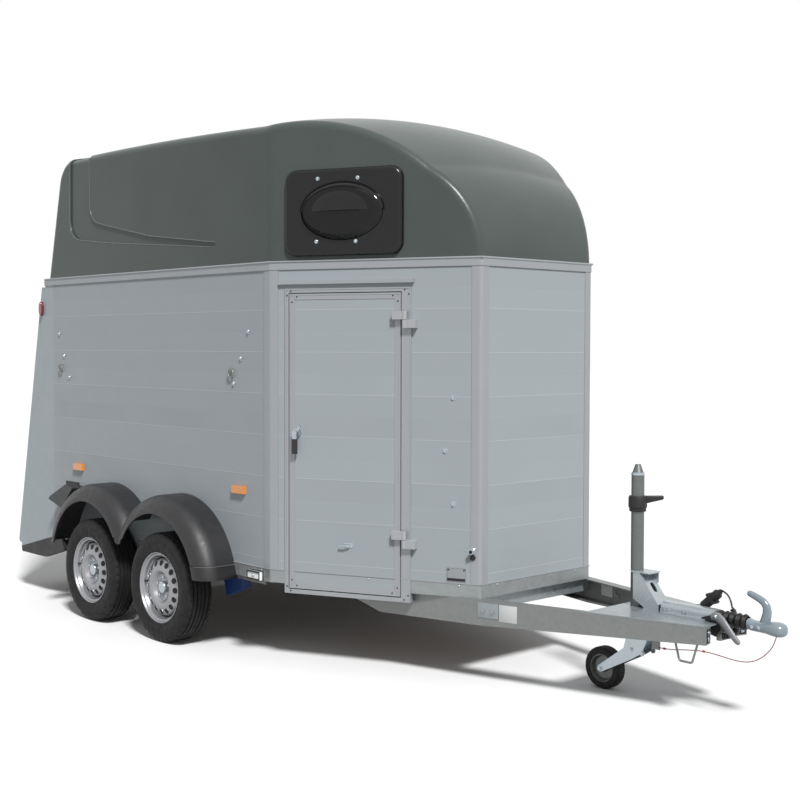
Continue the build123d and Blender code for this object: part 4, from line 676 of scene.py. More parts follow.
# %% Road tyres
TREAD_HALF = [
    (292.5, 0), (300, 3), (300, 19), (292.5, 20), (292.5, 26), (300, 27), (300, 45), (292.5, 46),
    (292.5, 52), (299, 53),
]
SIDEWALL = [
    (298, 62), (294, 69), (287, 75), (276, 81), (262, 85.5), (246, 87.4), (228, 85.5), (212, 81),
    (206, 79.5), (203, 81), (198, 79), (195.5, 76), (194.5, 72), (191, 66),
]
NOTCH_DEEP = 5.5
NOTCH_FROM, NOTCH_TO = 52.5, 76.5
NOTCH_EVERY = 4
TYRE_SEGMENTS = 160
half = TREAD_HALF + SIDEWALL
TYRE_PROFILE = [(r, -y) for r, y in reversed(half[1:])] + half


def tyre_mesh(centre):
    """A tyre turned round Y, with a notch at every fourth step of its shoulders."""
    bm = bmesh.new()
    turned(bm, TYRE_PROFILE, facing(centre, (0, 1, 0)), TYRE_SEGMENTS)
    for vertex in bm.verts:
        spoke = Vector((vertex.co.x - centre.x, 0, vertex.co.z - centre.z))
        across = abs(vertex.co.y - centre.y) * 1000
        step = round(atan2(spoke.z, spoke.x) / (2 * pi) * TYRE_SEGMENTS)
        if step % NOTCH_EVERY == 0 and NOTCH_FROM < across < NOTCH_TO:
            vertex.co -= spoke.normalized() * NOTCH_DEEP / 1000
    return bm


# %% [markdown]
# The wheel is a pressed steel disc in a rolled rim. Its section was measured on the photograph: the
# flange, the two steps down to the barrel, the raised ring round the hub, and the slope that holds 16
# hand holes. The rim and the disc are closed outlines, so that they have a real thickness.

# %% Wheel outlines
NUT_RING = 56
NUT_COUNT = 5
DISC_FACE = 36
HUB_CAP = ((33, -4), (33, 17), (31, 21), (27, 22.5), (0, 23))
HAND_HOLES = 16
HAND_HOLE_RING = 134
HAND_HOLE_R = 16.5
HOLE_FACE = 57.6
HOLE_TILT = (0.934, 0.357)
BARREL = (
    (194, 70), (194.5, 74), (193, 76.5), (190, 77), (187.5, 75), (186, 70), (183.5, 66), (177, 64),
    (174.5, 61), (173.5, 47), (170, 42), (166, 38), (162, 32), (160, 24), (160, -30), (166, -38), (172, -44),
    (174, -62), (183, -66), (187, -75), (190, -77), (194, -74), (194, -70), (188, -66), (179, -62),
    (177, -44), (169, -35), (164, -28), (164, 24), (168, 34), (177, 46), (179, 61), (188, 66),
)
DISC = (
    (30, 36), (64, 36), (70, 38), (75, 44), (84, 60), (91, 67), (99, 69.5), (108, 67.5), (149, 51.9),
    (154, 47), (157, 38), (160, 20), (156, 20), (152, 38), (148, 46), (108, 62), (99, 64), (94, 62),
    (89, 57), (80, 41), (74, 33), (66, 30), (30, 30),
)
DRUM = ((0, 24), (118, 24), (124, 20), (124, -36), (120, -40), (0, -40))
NUT = ((12, 0), (12, 3), (9, 5), (9, 13), (6, 16), (0, 16))
NUT_TURN = 0.3
HOLE_LIP = (
    (HAND_HOLE_R + 2, -1), (HAND_HOLE_R + 1.5, 1.4), (HAND_HOLE_R, 1.6), (HAND_HOLE_R - 0.5, -1),
)
HOLE_SHADOW = ((HAND_HOLE_R, 0.4), (0, 0.4))
VALVE = ((5, 0), (5, 14), (4, 17), (4, 27), (3, 29), (0, 29))
VALVE_PLACE = (-0.163, 0.034, 0.012)

# %% [markdown]
# All four wheels are alike, so one loop makes them, each on its own body so that it can spin. The hand
# holes are dark discs of painted shade with a raised lip on the slope of the disc: cutting 16 holes
# through the sheet would need a boolean for each, and behind them only the barrel, painted dark as
# shade, could be seen.

# %% Four wheels
for axle, axle_x in (("front", 0), ("rear", REAR_AXLE)):
    for side, sign in (("right", -1), ("left", 1)):
        body = f"{axle}_{side}_wheel"
        centre = at(axle_x, sign * WHEEL_Y, WHEEL_Z)
        piece = add_piece(f"road_tyre_{axle}_{side}", tyre_mesh(centre), "tyre_rubber", body)
        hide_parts(f"tyre_{axle}_{side}")
        out = Vector((0, sign, 0))
        bm = bmesh.new()
        turned(bm, BARREL, facing(centre, out), 96, close=True)
        turned(bm, DISC, facing(centre, out), 96, close=True)
        turned(bm, DRUM, facing(centre, out), 64)
        piece = add_piece(f"wheel_disc_{axle}_{side}", bm, "wheel_silver", body)
        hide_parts(f"wheel_{axle}_{side}")
        bm = bmesh.new()
        face = centre + out * DISC_FACE / 1000
        turned(bm, HUB_CAP, facing(face, out), 32)
        for i in range(NUT_COUNT):
            angle = 2 * pi * i / NUT_COUNT + NUT_TURN
            turned(bm, NUT, facing(face + Vector((cos(angle), 0, sin(angle))) * NUT_RING / 1000, out), 6)
        add_piece(f"wheel_fastenings_{axle}_{side}", bm, "zinc_plate", body)
        lips = bmesh.new()
        # The hand holes are dark discs of painted shade; the black rubber valve stem shares their piece.
        shadows = bmesh.new()
        for i in range(HAND_HOLES):
            angle = 2 * pi * i / HAND_HOLES
            spoke = Vector((cos(angle), 0, sin(angle)))
            tilted = out * HOLE_TILT[0] + spoke * HOLE_TILT[1]
            place = facing(centre + (out * HOLE_FACE + spoke * HAND_HOLE_RING) / 1000, tilted)
            turned(lips, HOLE_LIP, place, 20, close=True)
            turned(shadows, HOLE_SHADOW, place, 20)
        valve = centre + Vector((VALVE_PLACE[0], out.y * VALVE_PLACE[1], VALVE_PLACE[2]))
        turned(shadows, VALVE, facing(valve, out), 12)
        add_piece(f"hand_hole_lips_{axle}_{side}", lips, "wheel_silver", body)
        add_piece(f"hand_hole_shadows_{axle}_{side}", shadows, "shadow_gap", body)

# %% [markdown]
# A band covers the joint between the walls and the hood, and a galvanised rim runs round their foot.
# Both have a thin raised edge that follows the body's plan from the rear, round the nose, to the other
# side. That is an outline carried along a path.

# %% Bead on the band and flange on the rim
BAND_TOP, BAND_PROUD = 2053, 6
RIM_TOP, RIM_PROUD = 484, 3
MITRE_B, MITRE_C = 0.237, 0.651


def plan_path(proud, rear_x, z):
    """The body's plan outline at height z, from the rear right round the nose to the rear left."""
    right = [(rear_x, -HALF_WIDTH - proud), (CORNER_B[0] + MITRE_B * proud, CORNER_B[1] - proud)]
    right.append((CORNER_C[0] + proud, CORNER_C[1] - MITRE_C * proud))
    outline = right + [(x, -y) for x, y in reversed(right)]
    return [at(x, y, z) for x, y in outline]


bm = bmesh.new()
swept(bm, plan_path(BAND_PROUD, -1603, BAND_TOP - 5), circle_section(5))
add_piece("band_bead", bm, "pale_extrusion", "trailer")
bm = bmesh.new()
swept(bm, plan_path(RIM_PROUD, -1432, RIM_TOP - 1), [(-3, -1.5), (3, -1.5), (3, 1.5), (-3, 1.5)])
add_piece("rim_flange", bm, "pale_extrusion", "trailer")

# %% [markdown]
# Bolt heads show on the walls, probably those of the fittings inside. Smaller screws hold the rim. Their
# places were read off the photograph on the right and are mirrored to the left.

# %% Fastenings of the walls
SIDE_KNOBS = ((590, 1698), (525, 1559), (461, 1425), (-1418, 1698), (-1354, 1559), (-1289, 1425))
PANEL_BOLTS = ((987, 1378), (947, 1122), (991, 865))
side_out = Vector((0, -1, 0))
places = [(at(x, -HALF_WIDTH, z), side_out) for x, z in SIDE_KNOBS]
places += [(on_panel(s, 0, z), PANEL_OUT) for s, z in PANEL_BOLTS]
places += [(mirrored(centre), mirrored(out)) for centre, out in places]
heads("wall_knobs", places, WASHER_HEAD, "zinc_plate", "trailer")
RIM_SCREW_PITCH = 470
places = [(at(700 - RIM_SCREW_PITCH * i, -HALF_WIDTH - RIM_PROUD, RIM_TOP - 12), side_out) for i in range(5)]
places += [(on_panel(80 + RIM_SCREW_PITCH * i, RIM_PROUD, RIM_TOP - 12), PANEL_OUT) for i in range(1, 3)]
places += [(mirrored(centre), mirrored(out)) for centre, out in places]
places += [(at(CORNER_C[0] + RIM_PROUD, y, RIM_TOP - 12), Vector((1, 0, 0))) for y in (-300, -100, 100, 300)]
heads("rim_screws", places, DOME_HEAD, "zinc_plate", "trailer", 12, 0.55)

# %% [markdown]
# Low beside the front post sit a turned knob, which seems to hold the groom's door open, a rubber plug
# under it, and a metal frame for a plate, which is left bare here.

# %% Knob and plate on the front post
KNOB = ((15, 0), (15, 6), (11, 9), (9, 20), (13, 24), (13, 32), (8, 35), (0, 35))
KNOB_CENTRE = ((9, 33), (9, 36.5), (7, 38), (0, 38))
KNOB_PLUG = ((14, 0), (14, 7), (9, 9), (0, 9))
KNOB_S, KNOB_Z, PLUG_Z = 1089, 644, 612
knob_place = facing(on_panel(KNOB_S, 2, KNOB_Z), PANEL_OUT)
bm = bmesh.new()
turned(bm, KNOB, knob_place, 20)
add_piece("post_knob", bm, "zinc_plate", "trailer")
bm = bmesh.new()
turned(bm, KNOB_CENTRE, knob_place, 16)
turned(bm, KNOB_PLUG, facing(on_panel(KNOB_S, 2, PLUG_Z), PANEL_OUT), 16)
add_piece("post_knob_centre", bm, "shadow_gap", "trailer")
PLATE_S, PLATE_Z = 1005, 525
QUARTERS = ((-1, -1), (1, -1), (1, 1), (-1, 1))
bm = bmesh.new()
plate_corners = [on_panel(PLATE_S + 47 * a, 1.5, PLATE_Z + 31 * b) for a, b in QUARTERS]
slab(bm, facing(on_panel(PLATE_S, 0, PLATE_Z), PANEL_OUT), (97, 65, 2), 0.8)
swept(bm, plate_corners, circle_section(2.5, 8), closed=True, up=PANEL_OUT)
add_piece("blank_plate", bm, "plate_metal", "trailer")
bm = bmesh.new()
slab(bm, facing(on_panel(PLATE_S, 1.2, PLATE_Z - 25), PANEL_OUT), (92, 12, 3), 1.0)
for a in (-1, 1):
    turned(bm, ((4, 0), (4, 3), (0, 4)), facing(on_panel(PLATE_S + 40 * a, 2, PLATE_Z + 23), PANEL_OUT), 10)
add_piece("plate_fixings", bm, "shadow_gap", "trailer")

# %% [markdown]
# The door leaf is edged with an aluminium profile, mitred and riveted at its corners, and closes against
# a grey seal. Each side of the border is one face, extruded outwards and drawn in slightly, so that the
# mitres show as fine lines.

# %% Edges of the groom's door
LEAF_S = (112, 716)
LEAF_Z = (396, 1886)
FRAME_S = (86, 771)
FRAME_Z = (370, 1912)
LEAF_FACE = 3
FRAME_FACE = 5
BORDER_DRAFT = 0.18
SEAL_GAP = 3


def grown(span, by):
    """A span made longer by the same measure at both ends."""
    return span[0] - by, span[1] + by


def framed(bm, s, z, out, width, proud):
    """A raised border on the panel, inside the rectangle s by z, with mitred corners."""
    outer = [(s[0], z[0]), (s[1], z[0]), (s[1], z[1]), (s[0], z[1])]
    inner = [(a - width * sign_s, b - width * sign_z) for (a, b), (sign_s, sign_z) in zip(outer, QUARTERS)]
    for i in range(4):
        j = (i + 1) % 4
        corners = (outer[i], outer[j], inner[j], inner[i])
        foot = bm.faces.new([bm.verts.new(on_panel(a, out, b)) for a, b in corners])
        middle = sum((vertex.co for vertex in foot.verts), Vector()) / 4
        made = bmesh.ops.extrude_face_region(bm, geom=[foot])["geom"]
        for vertex in (item for item in made if isinstance(item, bmesh.types.BMVert)):
            drawn_in = (middle - vertex.co).normalized() * proud * BORDER_DRAFT
            vertex.co += (PANEL_OUT * proud + drawn_in) / 1000
        bmesh.ops.delete(bm, geom=[foot], context="FACES_ONLY")


bm = bmesh.new()
framed(bm, LEAF_S, LEAF_Z, LEAF_FACE, 30, 2.2)
framed(bm, grown(LEAF_S, -1), grown(LEAF_Z, -1), LEAF_FACE + 2.2, 8, 1.6)
add_piece("door_leaf_edge", bm, "door_aluminium", "groom_door")
bm = bmesh.new()
framed(bm, FRAME_S, FRAME_Z, FRAME_FACE, 7, 2.0)
add_piece("door_frame_lip", bm, "door_aluminium", "trailer")
bm = bmesh.new()
(seal_a, seal_b), (seal_low, seal_top) = grown(LEAF_S, SEAL_GAP), grown(LEAF_Z, SEAL_GAP)
seal = ((seal_a, seal_low), (seal_b, seal_low), (seal_b, seal_top), (seal_a, seal_top))
swept(bm, [on_panel(s, -SEAL_GAP, z) for s, z in seal], circle_section(3, 8), closed=True, up=PANEL_OUT)
add_piece("door_seal", bm, "seal_grey", "trailer")
RIVET_IN = 15
places = []
for s, inward in ((LEAF_S[0], 1), (LEAF_S[1], -1)):
    for z, upward in ((LEAF_Z[0], 1), (LEAF_Z[1], -1)):
        places.append((on_panel(s + inward * RIVET_IN, LEAF_FACE + 2, z + upward * 42), PANEL_OUT))
        places.append((on_panel(s + inward * 42, LEAF_FACE + 2, z + upward * RIVET_IN), PANEL_OUT))
heads("door_rivets", places, DOME_HEAD, "shadow_gap", "groom_door", 10, 0.45)
places = []
for s, inward in ((FRAME_S[0], 1), (FRAME_S[1], -1)):
    for z, upward in ((FRAME_Z[0], 1), (FRAME_Z[1], -1)):
        places.append((on_panel(s + inward * 13, FRAME_FACE, z + upward * 34), PANEL_OUT))
        places.append((on_panel(s + inward * 34, FRAME_FACE, z + upward * 13), PANEL_OUT))
heads("frame_rivets", places, DOME_HEAD, "shadow_gap", "trailer", 10, 0.45)

# %% [markdown]
# A small hook on the leaf is at the height of that knob, and probably catches it when the door is open. The
# lock's cylinder sits in the rosette of the handle, with its short bar beside it.

# %% Hook and lock of the door
HOOK_LINE = ((450, 6, 633), (450, 18, 633), (425, 24, 632), (396, 22, 630))
bm = bmesh.new()
slab(bm, facing(on_panel(440, LEAF_FACE, 633), PANEL_OUT), (46, 24, 3), 1.0)
swept(bm, [on_panel(*point) for point in HOOK_LINE], circle_section(4))
add_piece("door_hook", bm, "zinc_plate", "groom_door")
bm = bmesh.new()
LOCK_CYLINDER = ((13, 30), (13, 38), (10, 40), (0, 40))
turned(bm, LOCK_CYLINDER, facing(on_panel(HANDLE_S - 4, 0, HANDLE_Z - 4), PANEL_OUT), 20)
key_bar = [on_panel(HANDLE_S + 14, 34, HANDLE_Z + 8), on_panel(HANDLE_S + 30, 38, HANDLE_Z + 34)]
swept(bm, key_bar, circle_section(7))
add_piece("door_lock", bm, "zinc_plate", "groom_door")

# %% [markdown]
# Each dark window in the hood has an oval vent. Its upper half is covered by a smoked visor: a shallow
# dome, made by spinning a curved rib half way round, stretched into the oval and given a thickness by a
# modifier. Four screws hold the window.

# %% Vents in the hood windows
WINDOW_S = (92, 729)
WINDOW_Z = (2072, 2503)
WINDOW_FACE = 30
VENT_HALF = (222, 142)
VENT_RISE = 42
VISOR_HALF = (VENT_HALF[0] * 1.03, VENT_HALF[1] * 1.03)
VISOR_STEPS = 8
VISOR_CURVE = 2.6
WINDOW_SCREWS = ((281, 2453), (497, 2449), (274, 2142), (487, 2139))
vent_at = (sum(WINDOW_S) / 2, sum(WINDOW_Z) / 2)
visor_turn = Matrix((PANEL_ALONG, (0, 0, 1), PANEL_OUT)).transposed().to_4x4()
visor_size = Matrix.Diagonal((VISOR_HALF[0] / 1000, VISOR_HALF[1] / 1000, 0.001, 1))
visor_place = Matrix.Translation(on_panel(vent_at[0], 0, vent_at[1] + 2)) @ visor_turn @ visor_size
for side in ("right", "left"):
    place = mirrored if side == "left" else Vector
    bm = bmesh.new()
    shares = [i / VISOR_STEPS for i in range(VISOR_STEPS + 1)]
    rib = [bm.verts.new((share, 0, VENT_RISE * (1 - share ** VISOR_CURVE) + WINDOW_FACE - 1)) for share in shares]
    runs = [bm.edges.new(pair) for pair in zip(rib, rib[1:])]
    bmesh.ops.spin(bm, geom=rib + runs, cent=(0, 0, 0), axis=(0, 0, 1), dvec=(0, 0, 0), angle=pi, steps=32)
    bmesh.ops.transform(bm, matrix=visor_place, verts=bm.verts)
    bmesh.ops.remove_doubles(bm, verts=bm.verts, dist=WELD)
    for vertex in bm.verts:
        vertex.co = place(vertex.co)
    visor = add_piece(f"vent_visor_{side}", bm, "smoked_visor", "trailer")
    solid = visor.modifiers.new("thickness", "SOLIDIFY")
    solid.thickness = 0.004
    solid.offset = 0
    screw_places = [(place(on_panel(s, WINDOW_FACE, z)), place(PANEL_OUT)) for s, z in WINDOW_SCREWS]
    heads(f"window_screws_{side}", screw_places, HEX_HEAD, "zinc_plate", "trailer", 12, 0.85)

# %% [markdown]
# A swept recess is moulded into each side of the hood. Its depth is in the CAD model. What makes it
# visible from afar is the light on its rounded edges, so a thin bead follows them, painted paler than
# the hood as a highlight, with its corners rounded by short curves.

# %% Edges of the hood's recess
RECESS_TOP = 2770
RECESS_OUTER = ((-1278, RECESS_TOP), (-1285, 2289), (-798, 2237), (288, 2152))
RECESS_INNER = ((289, 2179), (-355, 2251), (-797, 2335), (-1036, 2385), (-1041, RECESS_TOP))
RECESS_BEND_R = 140
EDGE_R = 2.5


def rounded_line(points, radius, steps=8):
    """A line through (x, z) points with corners rounded by a radius, or by less on a short run."""
    line = [Vector(points[0])]
    for before, here, after in zip(points, points[1:], points[2:]):
        here = Vector(here)
        back, on = Vector(before) - here, Vector(after) - here
        half_turn = (pi - back.angle(on)) / 2
        reach = min(radius * sin(half_turn) / cos(half_turn), 0.45 * back.length, 0.45 * on.length)
        start, end = here + back.normalized() * reach, here + on.normalized() * reach
        for i in range(steps + 1):
            t = i / steps
            line.append(start * (1 - t) ** 2 + here * 2 * t * (1 - t) + end * t ** 2)
    line.append(Vector(points[-1]))
    return line


# These beads are painted paler than the hood, as a highlight on the recess edges.
bm = bmesh.new()
for sign in (-1, 1):
    for outline in (RECESS_OUTER, RECESS_INNER):
        path = [at(x, sign * (HALF_WIDTH - 0.5), z) for x, z in rounded_line(outline, RECESS_BEND_R)]
        swept(bm, path, circle_section(EDGE_R, 8), up=(0, 1, 0))
add_piece("recess_edges", bm, "painted_hood_highlight", "trailer")

# %% [markdown]
# A bead stiffens the mudguards just inside their lip. It is a thin bar carried round an arc over each
# wheel, painted much paler than the guard as a highlight.

# %% Beads on the mudguards
GUARD_Y = HALF_WIDTH + 213
GUARD_Z = 320
BEAD_REACH = 404
BEAD_Y = GUARD_Y - 6
BEAD_R = 3.2
# The beads are painted pale, as a highlight on the guard's dark plastic.
bm = bmesh.new()
for sign in (-1, 1):
    for axle_x, start, end in ((0, 22, 149), (REAR_AXLE, 31, 166)):
        arc = []
        for i in range(41):
            angle = radians(start + (end - start) * i / 40)
            along, rise = BEAD_REACH * cos(angle), BEAD_REACH * sin(angle)
            arc.append(at(axle_x + along, sign * BEAD_Y, GUARD_Z + rise))
        swept(bm, arc, circle_section(BEAD_R, 6), up=(0, 1, 0))
add_piece("guard_beads", bm, "painted_guard_highlight", "trailer")

# %% [markdown]
# A darker band is wrapped round the front foot of each mudguard, with a bead on its top edge that is
# painted pale as a highlight. To fit exactly, it is cut from a copy of the mudguard with three planes,
# closed, and swollen outwards by a few millimetres.

# %% Foot bands of the mudguards
FOOT_BAND_TOP = 0.470
FOOT_BEAD = 0.003
FOOT_REAR = 150


def guard_slice(low, high, proud):
    """The front foot of both guards between two heights, as a copy that stands proud of them."""
    bm = bmesh.new()
    bm.from_mesh(nodes["mudguards"].data)
    bmesh.ops.remove_doubles(bm, verts=bm.verts, dist=WELD)
    cuts = (((0, 0, high), (0, 0, 1)), ((0, 0, low), (0, 0, -1)), (at(FOOT_REAR, 0, 0), (-1, 0, 0)))
    for point, away in cuts:
        everything = bm.verts[:] + bm.edges[:] + bm.faces[:]
        bmesh.ops.bisect_plane(bm, geom=everything, plane_co=point, plane_no=away, clear_outer=True)
    bmesh.ops.holes_fill(bm, edges=bm.edges, sides=0)
    bm.normal_update()
    for vertex in bm.verts:
        vertex.co += Vector((vertex.normal.x, vertex.normal.y, 0)).normalized() * proud
        vertex.co.y = max(-GUARD_Y / 1000, min(GUARD_Y / 1000, vertex.co.y))
    return bm


foot_band = guard_slice(0.0, FOOT_BAND_TOP, 0.006)
add_piece("guard_foot_bands", foot_band, "guard_band", "trailer")
# The bead on the band's top edge is painted pale as a highlight.
foot_bead = guard_slice(FOOT_BAND_TOP - FOOT_BEAD, FOOT_BAND_TOP, 0.0075)
add_piece("guard_foot_beads", foot_bead, "painted_guard_highlight", "trailer")

# %% [markdown]
# Two rails run from under the body to the coupling, at an angle. As on the door's panel, a function
# gives points measured along the right-hand rail, outwards from its face, and up.

# %% Places on the drawbar's rails
VEE_REAR, VEE_FRONT = (1044, -635), (2880, -160)
vee_length = hypot(VEE_FRONT[0] - VEE_REAR[0], VEE_FRONT[1] - VEE_REAR[1])
VEE_ALONG = Vector((VEE_FRONT[0] - VEE_REAR[0], VEE_FRONT[1] - VEE_REAR[1], 0)) / vee_length
VEE_OUT = Vector((VEE_ALONG.y, -VEE_ALONG.x, 0))
VEE_WEB = 5


def on_rail(s, out, z):
    """A point on the right-hand drawbar rail's outer face."""
    return at(*VEE_REAR, z) + (VEE_ALONG * s + VEE_OUT * out) / 1000


# %% [markdown]
# The rails carry a bare label, a plate with two bolts, a slotted hole, and at their open ends a dark
# mouth with its bolts. The slotted hole and the mouths are thin dark plates of painted shade. The far
# rail shows its inner face, with a label and two clips for the cable. All are thin plates, turned bolts
# or short carried bars.

# %% Plates, ends and clips of the rails
bm = bmesh.new()
slab(bm, facing(on_rail(943, 0, 366), VEE_OUT), (94, 80, 0.8), 0.3)
add_piece("rail_label", bm, "blank_label", "trailer")
bm = bmesh.new()
slab(bm, facing(on_rail(838, 0, 372), VEE_OUT), (110, 72, 4), 1.0)
for along_rail in (812, 864):
    turned(bm, HEX_HEAD, facing(on_rail(along_rail, 4, 366), VEE_OUT), 6)
add_piece("rail_plate", bm, "bright_zinc", "trailer")
bm = bmesh.new()
# The slotted hole is a thin dark plate of painted shade.
slab(bm, facing(on_rail(-264, 0, 369), VEE_OUT), (84, 22, 0.8), 0.3)
add_piece("rail_slot_shadow", bm, "shadow_gap", "trailer")
# The open ends of the rails are dark plates of painted shade, with their bolts on them.
RAIL_END_Z = (342, 417)
bm = bmesh.new()
bolts = bmesh.new()
for place in (Vector, mirrored):
    end = facing(place(on_rail(vee_length, -28, RAIL_END_Z[0] + 7)), place(VEE_ALONG))
    slab(bm, end @ Matrix.Translation((0, 0.029, 0)), (44, 60, 1.2), 0.4)
    for rise in (0.017, 0.044):
        turned(bolts, HEX_HEAD, end @ Matrix.Translation((0, rise, 0.001)), 6)
add_piece("rail_end_shadows", bm, "shadow_gap", "trailer")
add_piece("rail_end_bolts", bolts, "zinc_plate", "trailer")
bm = bmesh.new()
slab(bm, facing(mirrored(on_rail(900, -VEE_WEB, 372)), -mirrored(VEE_OUT)), (90, 62, 0.8), 0.3)
add_piece("far_rail_label", bm, "blank_label", "trailer")
bm = bmesh.new()
CLIP_LINE = ((18, 17), (-16, 17), (-16, -17), (18, -17))
for s in (640, 990):
    hook = [mirrored(on_rail(s + a, -VEE_WEB - 5, 378 + b)) for a, b in CLIP_LINE]
    swept(bm, hook, circle_section(4, 8), up=VEE_OUT)
add_piece("far_rail_clips", bm, "hinge_grey", "trailer")

# %% [markdown]
# Bolts and pivots show on the near side of the coupling's housing and on both sides of the jockey
# wheel's fork. The fork slides and swivels, so its bolts ride on the fork's body. Two red ferrules close
# the loops of the breakaway cable.

# %% Bolts of the coupling and the jockey fork
HOUSING_SIDE = 38
bm = bmesh.new()
turned(bm, HEX_HEAD, facing(at(2588, -HOUSING_SIDE - 6, 435), side_out), 6)
turned(bm, HEX_HEAD, facing(at(2685, -HOUSING_SIDE, 439), side_out), 6)
for x, z, y in ((3020, 428, 30), (3056, 431, 34)):
    turned(bm, ((8, -2), (8, 2), (4, 2.2), (4, 1), (0, 1)), facing(at(x, -y, z), side_out), 16)
turned(bm, DOME_HEAD, facing(at(2870, -76, 455), side_out), 20)
add_piece("coupling_bolts", bm, "zinc_plate", "trailer")
FORK_SIDE = 40
bm = bmesh.new()
for sign in (-1, 1):
    for (x, z), washer in (((2463, 215), 14), ((2398, 222), 11), ((2219, 100), 15)):
        place = facing(at(x, sign * FORK_SIDE, z), (0, sign, 0))
        across = 0.65 * washer
        turned(bm, ((washer, 0), (washer, 2.5), (across, 3.5), (across, 9), (0, 10)), place, 6)
add_piece("jockey_fork_bolts", bm, "zinc_plate", "jockey_fork")
bm = bmesh.new()
for x, y, z in ((2594, -56, 263), (2797, -52, 286)):
    place = Matrix.Translation(at(x, y, z)) @ Matrix.Rotation(pi / 2, 4, "Y")
    turned(bm, ((3, -7), (5, -5), (5, 5), (3, 7)), place, 12, close=True)
add_piece("cable_ferrules", bm, "signal_red", "trailer")

# %% [markdown]
# A black plastic collar grips the jockey wheel's tube. It is turned, and its lever is a cube that tapers
# towards the tip, with well rounded edges. A cap closes the top of the tube.

# %% Clamp collar of the jockey tube
POST_X = 2400
COLLAR = ((30.3, 862), (37, 862), (39, 865), (39, 877), (43, 882), (43, 924), (39, 934), (30.3, 934))
CLAMP_LEVER_TURN = radians(42)
CLAMP_LEVER_SIZE = (0.084, 0.028, 0.036, 1)
CLAMP_LEVER_MID = (0.076, 0, 0.916)
CLAMP_LEVER_TIP = (0.918, 0.936)
post = Matrix.Translation(at(POST_X, 0, 0))
bm = bmesh.new()
turned(bm, COLLAR, post, 40, close=True)
lever = post @ Matrix.Rotation(CLAMP_LEVER_TURN, 4, "Z")
made = bmesh.ops.create_cube(bm, size=1.0)["verts"]
lever_size = Matrix.Translation(CLAMP_LEVER_MID) @ Matrix.Diagonal(CLAMP_LEVER_SIZE)
bmesh.ops.transform(bm, matrix=lever_size, verts=made)
for vertex in made:
    if vertex.co.x > CLAMP_LEVER_MID[0]:
        vertex.co.z = CLAMP_LEVER_TIP[1] if vertex.co.z > CLAMP_LEVER_MID[2] else CLAMP_LEVER_TIP[0]
        vertex.co.y *= 0.8
bmesh.ops.transform(bm, matrix=lever, verts=made)
soften(bm, made, 6, 3)
collar = add_piece("clamp_collar", bm, "black_plastic", "trailer")
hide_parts("jockey_collar")
bm = bmesh.new()
turned(bm, ((30, 1030), (31.5, 1032), (31.5, 1038), (28.5, 1041), (27, 1043)), post, 32)
turned(bm, ((13, 1074), (13, 1078), (10, 1081), (0, 1081.5)), post, 24)
add_piece("tube_cap", bm, "zinc_plate", "trailer")

# %% [markdown]
# The coupling head is a smooth casting, and its handle and the brake lever swell and taper along a
# curve. No single turned or extruded form fits them. Their sections are squarish ovals, so one oval
# outline is carried through a list of places, and each place stretches and leans it.

# %% Coupling head, handle and brake lever
OVAL_SIDES = 32


def lofted(name, node, ovals, power, look):
    """A piece through ovals of (x, y, z, half across, half up, lean), in place of a CAD node."""
    outline = []
    for i in range(OVAL_SIDES):
        c, d = cos(2 * pi * i / OVAL_SIDES), sin(2 * pi * i / OVAL_SIDES)
        outline.append((copysign(abs(c) ** (2 / power), c), copysign(abs(d) ** (2 / power), d)))
    places = []
    for x, y, z, half_y, half_up, lean in ovals:
        up = Vector((sin(radians(lean)), 0, cos(radians(lean))))
        turn = Matrix(((0, 1, 0), up, Vector((0, 1, 0)).cross(up))).transposed().to_4x4()
        places.append(Matrix.Translation(at(x, y, z)) @ turn @ Matrix.Diagonal((half_y, half_up, 1, 1)))
    bm = bmesh.new()
    carry_outline(bm, outline, places)
    piece = add_piece(name, bm, look, "trailer")
    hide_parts(node)
    return piece


HEAD_OVALS = (
    (2986, 0, 433, 20, 20, 0), (2990, 0, 433, 27, 24, 0), (3011, 0, 428, 30, 22, 0),
    (3053, 0, 428, 34, 22.5, 0), (3080, 0, 430, 38, 25, 0), (3100, 0, 430, 41, 28, 0),
    (3122, 0, 429, 42, 30.5, 0), (3140, 0, 428, 39, 29.5, 0), (3152, 0, 427, 33, 26, 0),
    (3160, 0, 427, 24, 20, 0), (3164.5, 0, 427, 13, 11, 0), (3165.5, 0, 427, 4, 3, 0),
)
HANDLE_OVALS = (
    (3064, 0, 448, 13, 24, 90), (3070, 0, 470, 13, 23, 84), (3075, 0, 495, 13, 20, 82),
    (3072, 0, 518, 13, 17.5, 62), (3058, 0, 536, 13, 16, 36), (3038, 0, 547, 13, 15, 25),
    (3012, 0, 557, 13, 14, 18), (2990, 0, 564, 12.5, 13, 16), (2983, 0, 566, 9, 9.5, 16),
    (2981, 0, 566.5, 3, 3, 16),
)
LEVER_OVALS = (
    (2843, -67, 446, 3, 5, 0), (2846, -67, 449, 8, 13, -8), (2858, -67, 455, 9.5, 18, 4),
    (2876, -67, 453, 10, 20, 22), (2896, -67, 439, 10, 19, 38), (2922, -67, 412, 10, 16.5, 45),
    (2950, -67, 383, 10, 14, 46), (2974, -67, 360, 9.5, 12, 46), (2982, -67, 353, 6, 8, 46),
    (2984, -67, 351, 2, 3, 46),
)
lofted("head_casting", "coupling_head", HEAD_OVALS, 2.6, "head_zinc")
lofted("handle_casting", "coupling_handle", HANDLE_OVALS, 2.4, "head_zinc")
lofted("brake_lever_grip", "handbrake_lever", LEVER_OVALS, 2.4, "grey_plastic")

# %% [markdown]
# The clear front lamps sit in black surrounds on the first corner. A soft lip goes round each lens and a
# plate lies behind it, with one screw in the middle of the lens.

